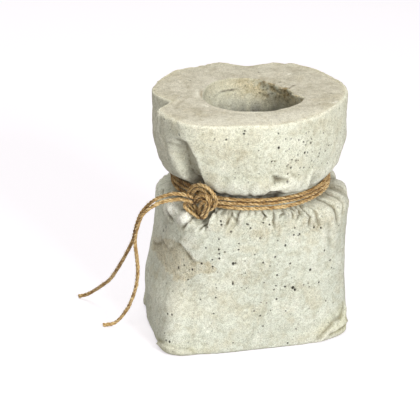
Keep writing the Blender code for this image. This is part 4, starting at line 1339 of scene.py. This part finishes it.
rgba = np.ones((len(P), 4), np.float32)
rgba[:, :3] = col
cast_mesh.attributes.new("tone", "FLOAT_COLOR", "POINT").data.foreach_set("color", rgba.ravel())
cast_mesh.attributes.new("broken", "FLOAT", "POINT").data.foreach_set("value", np.clip(patch + broken * in_pocket, 0, 1).astype(np.float32))
cast_mesh.attributes.new("grit", "FLOAT", "POINT").data.foreach_set("value", np.clip(grit * wall + 0.7 * brown * in_pocket, 0, 1).astype(np.float32))
for label in ("kind", "pc", "ps"):
    cast_mesh.attributes.remove(cast_mesh.attributes[label])


def plaster_material():
    m = bpy.data.materials.new("cast_plaster_looks")
    m.use_nodes = True
    tree = m.node_tree
    shader = tree.nodes["Principled BSDF"]
    where = tree.nodes.new("ShaderNodeTexCoord").outputs["Object"]
    grain = node(tree, "ShaderNodeTexNoise", Vector=where, Scale=430.0, Detail=5.0, Roughness=0.66).outputs[0]
    sand = node(tree, "ShaderNodeTexNoise", Vector=where, Scale=1500.0, Detail=3.0, Roughness=0.7).outputs[0]
    cluster = node(tree, "ShaderNodeTexNoise", Vector=where, Scale=60.0, Detail=3.0).outputs[0]
    smear = node(tree, "ShaderNodeTexNoise", Vector=where, Scale=130.0, Detail=4.0, Roughness=0.6, Distortion=1.2).outputs[0]
    gritty = attribute(tree, "grit").outputs["Fac"]
    rough = attribute(tree, "broken").outputs["Fac"]
    tone = attribute(tree, "tone").outputs["Color"]
    colour = mix(tree, "MULTIPLY", tone, ramp(tree, grain, [(0.34, (0.84, 0.83, 0.79)), (0.5, (1.0, 1.0, 1.0)), (0.66, (1.07, 1.07, 1.07))]), 1.0)
    colour = mix(tree, "MULTIPLY", colour, ramp(tree, sand, [(0.35, (0.50, 0.49, 0.44)), (0.5, (1.0, 1.0, 1.0)), (0.65, (1.26, 1.26, 1.26))]), maths(tree, "MULTIPLY_ADD", gritty, 0.40, 0.72, clamp=True))
    colour = mix(tree, "MULTIPLY", colour, ramp(tree, smear, [(0.36, (0.90, 0.885, 0.845)), (0.5, (1.0, 1.0, 1.0)), (0.64, (1.035, 1.035, 1.03))]), 1.0)

    def dots(scale, least, most, seed):
        """Small holes of uneven size, 1 inside each."""
        moved = node(tree, "ShaderNodeVectorMath")
        tree.links.new(where, moved.inputs[0])
        moved.inputs[1].default_value = (seed, seed * 0.7, seed * 1.3)
        cells = node(tree, "ShaderNodeTexVoronoi", Vector=moved.outputs[0], Scale=scale)
        chance = tree.nodes.new("ShaderNodeSeparateColor")
        tree.links.new(cells.outputs["Color"], chance.inputs[0])
        size = maths(tree, "MULTIPLY_ADD", maths(tree, "POWER", chance.outputs[0], 4.0), most - least, least)
        return maths(tree, "MULTIPLY", maths(tree, "SUBTRACT", size, cells.outputs["Distance"]), 14.0, clamp=True)

    few = maths(tree, "MULTIPLY_ADD", cluster, 5.0, -2.45, clamp=True)
    many = maths(tree, "MULTIPLY_ADD", gritty, 0.75, maths(tree, "MULTIPLY", few, 0.5), clamp=True)
    coarse = maths(tree, "MULTIPLY", dots(300.0, 0.02, 0.27, 0.31), many)
    close = maths(tree, "MULTIPLY", dots(620.0, -0.02, 0.30, 0.57), many)
    thin = maths(tree, "MULTIPLY", dots(260.0, -0.10, 0.19, 0.83), 0.8)
    speck = maths(tree, "MAXIMUM", maths(tree, "MAXIMUM", coarse, maths(tree, "MULTIPLY", close, 0.75)), thin)
    colour = mix(tree, "MIX", colour, lin(74, 58, 36), maths(tree, "MULTIPLY", speck, 0.84))
    tree.links.new(colour, shader.inputs["Base Color"])
    shader.inputs["Roughness"].default_value = 0.86
    shader.inputs["Specular IOR Level"].default_value = 0.3
    height = maths(tree, "ADD", maths(tree, "MULTIPLY", grain, 0.8), maths(tree, "MULTIPLY", sand, 0.45))
    height = maths(tree, "SUBTRACT", height, maths(tree, "MULTIPLY", speck, 0.6))
    strength = maths(tree, "MULTIPLY_ADD", maths(tree, "MAXIMUM", rough, gritty), 0.35, 0.62)
    bump = node(tree, "ShaderNodeBump", Strength=strength, Distance=0.001, Height=height)
    tree.links.new(bump.outputs[0], shader.inputs["Normal"])
    return m


PLASTER = plaster_material()
P = to_world(read("co"))
P[:, 2] = np.maximum(P[:, 2], 0.0)
write(P)
print("cast triangles", sum(len(f.vertices) - 2 for f in cast_mesh.polygons))
cast_mesh.shade_smooth()
cast_mesh.materials.append(PLASTER)
cast = bpy.data.objects.new("cast_sack", cast_mesh)
scene.collection.objects.link(cast)
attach(cast, "root")
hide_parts("cast_body")
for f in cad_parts.values():
    f.data.materials.clear()
    f.data.materials.append(PLASTER if f.name.startswith("cast") else JUTE)

# ============================================================ floor and light
floor_mesh = bpy.data.meshes.new("floor")
floor_mesh.from_pydata([(-6, -6, 0), (6, -6, 0), (6, 6, 0), (-6, 6, 0)], [], [(0, 1, 2, 3)])
floor = bpy.data.objects.new("floor", floor_mesh)
scene.collection.objects.link(floor)
pale = bpy.data.materials.new("floor_looks")
pale.use_nodes = True
pale.node_tree.nodes["Principled BSDF"].inputs["Base Color"].default_value = (0.42, 0.415, 0.43, 1)
pale.node_tree.nodes["Principled BSDF"].inputs["Roughness"].default_value = 0.9
pale.node_tree.nodes["Principled BSDF"].inputs["Emission Color"].default_value = (1, 0.97, 1.02, 1)
glow = node(pale.node_tree, "ShaderNodeLightPath").outputs["Is Camera Ray"]
seen = mix(pale.node_tree, "MIX", (0.42, 0.415, 0.43), (0.60, 0.585, 0.60), glow)
pale.node_tree.links.new(seen, pale.node_tree.nodes["Principled BSDF"].inputs["Base Color"])
glow = maths(pale.node_tree, "MULTIPLY", glow, 0.56)
pale.node_tree.links.new(glow, pale.node_tree.nodes["Principled BSDF"].inputs["Emission Strength"])
floor_mesh.materials.append(pale)

world = bpy.data.worlds.new("studio")
scene.world = world
world.use_nodes = True
world.node_tree.nodes["Background"].inputs[0].default_value = (1.0, 0.975, 0.93, 1)
world.node_tree.nodes["Background"].inputs[1].default_value = 0.24


def softbox(name, at, to, size, power, colour=(1, 1, 1)):
    data = bpy.data.lights.new(name, "AREA")
    data.shape = "SQUARE"
    data.size = size
    data.energy = power
    data.color = colour
    lamp = bpy.data.objects.new(name, data)
    scene.collection.objects.link(lamp)
    lamp.location = at
    lamp.rotation_euler = (Vector(to) - Vector(at)).to_track_quat("-Z", "Y").to_euler()
    return lamp


softbox("key", (0.40, -1.22, 0.62), (0, 0, 0.09), 0.36, 15.9, (1.0, 1.0, 0.985))
softbox("fill", (-1.2, -0.9, 0.8), (0, 0, 0.08), 1.0, 7.6, (1.0, 0.98, 0.93))
softbox("top", (-0.1, 0.5, 1.4), (0, 0, 0.05), 1.0, 9.0, (1.0, 1.0, 0.98))
scene.view_settings.view_transform = "Standard"
scene.view_settings.look = "None"

# ============================================================ update the view layer
bpy.context.view_layer.update()
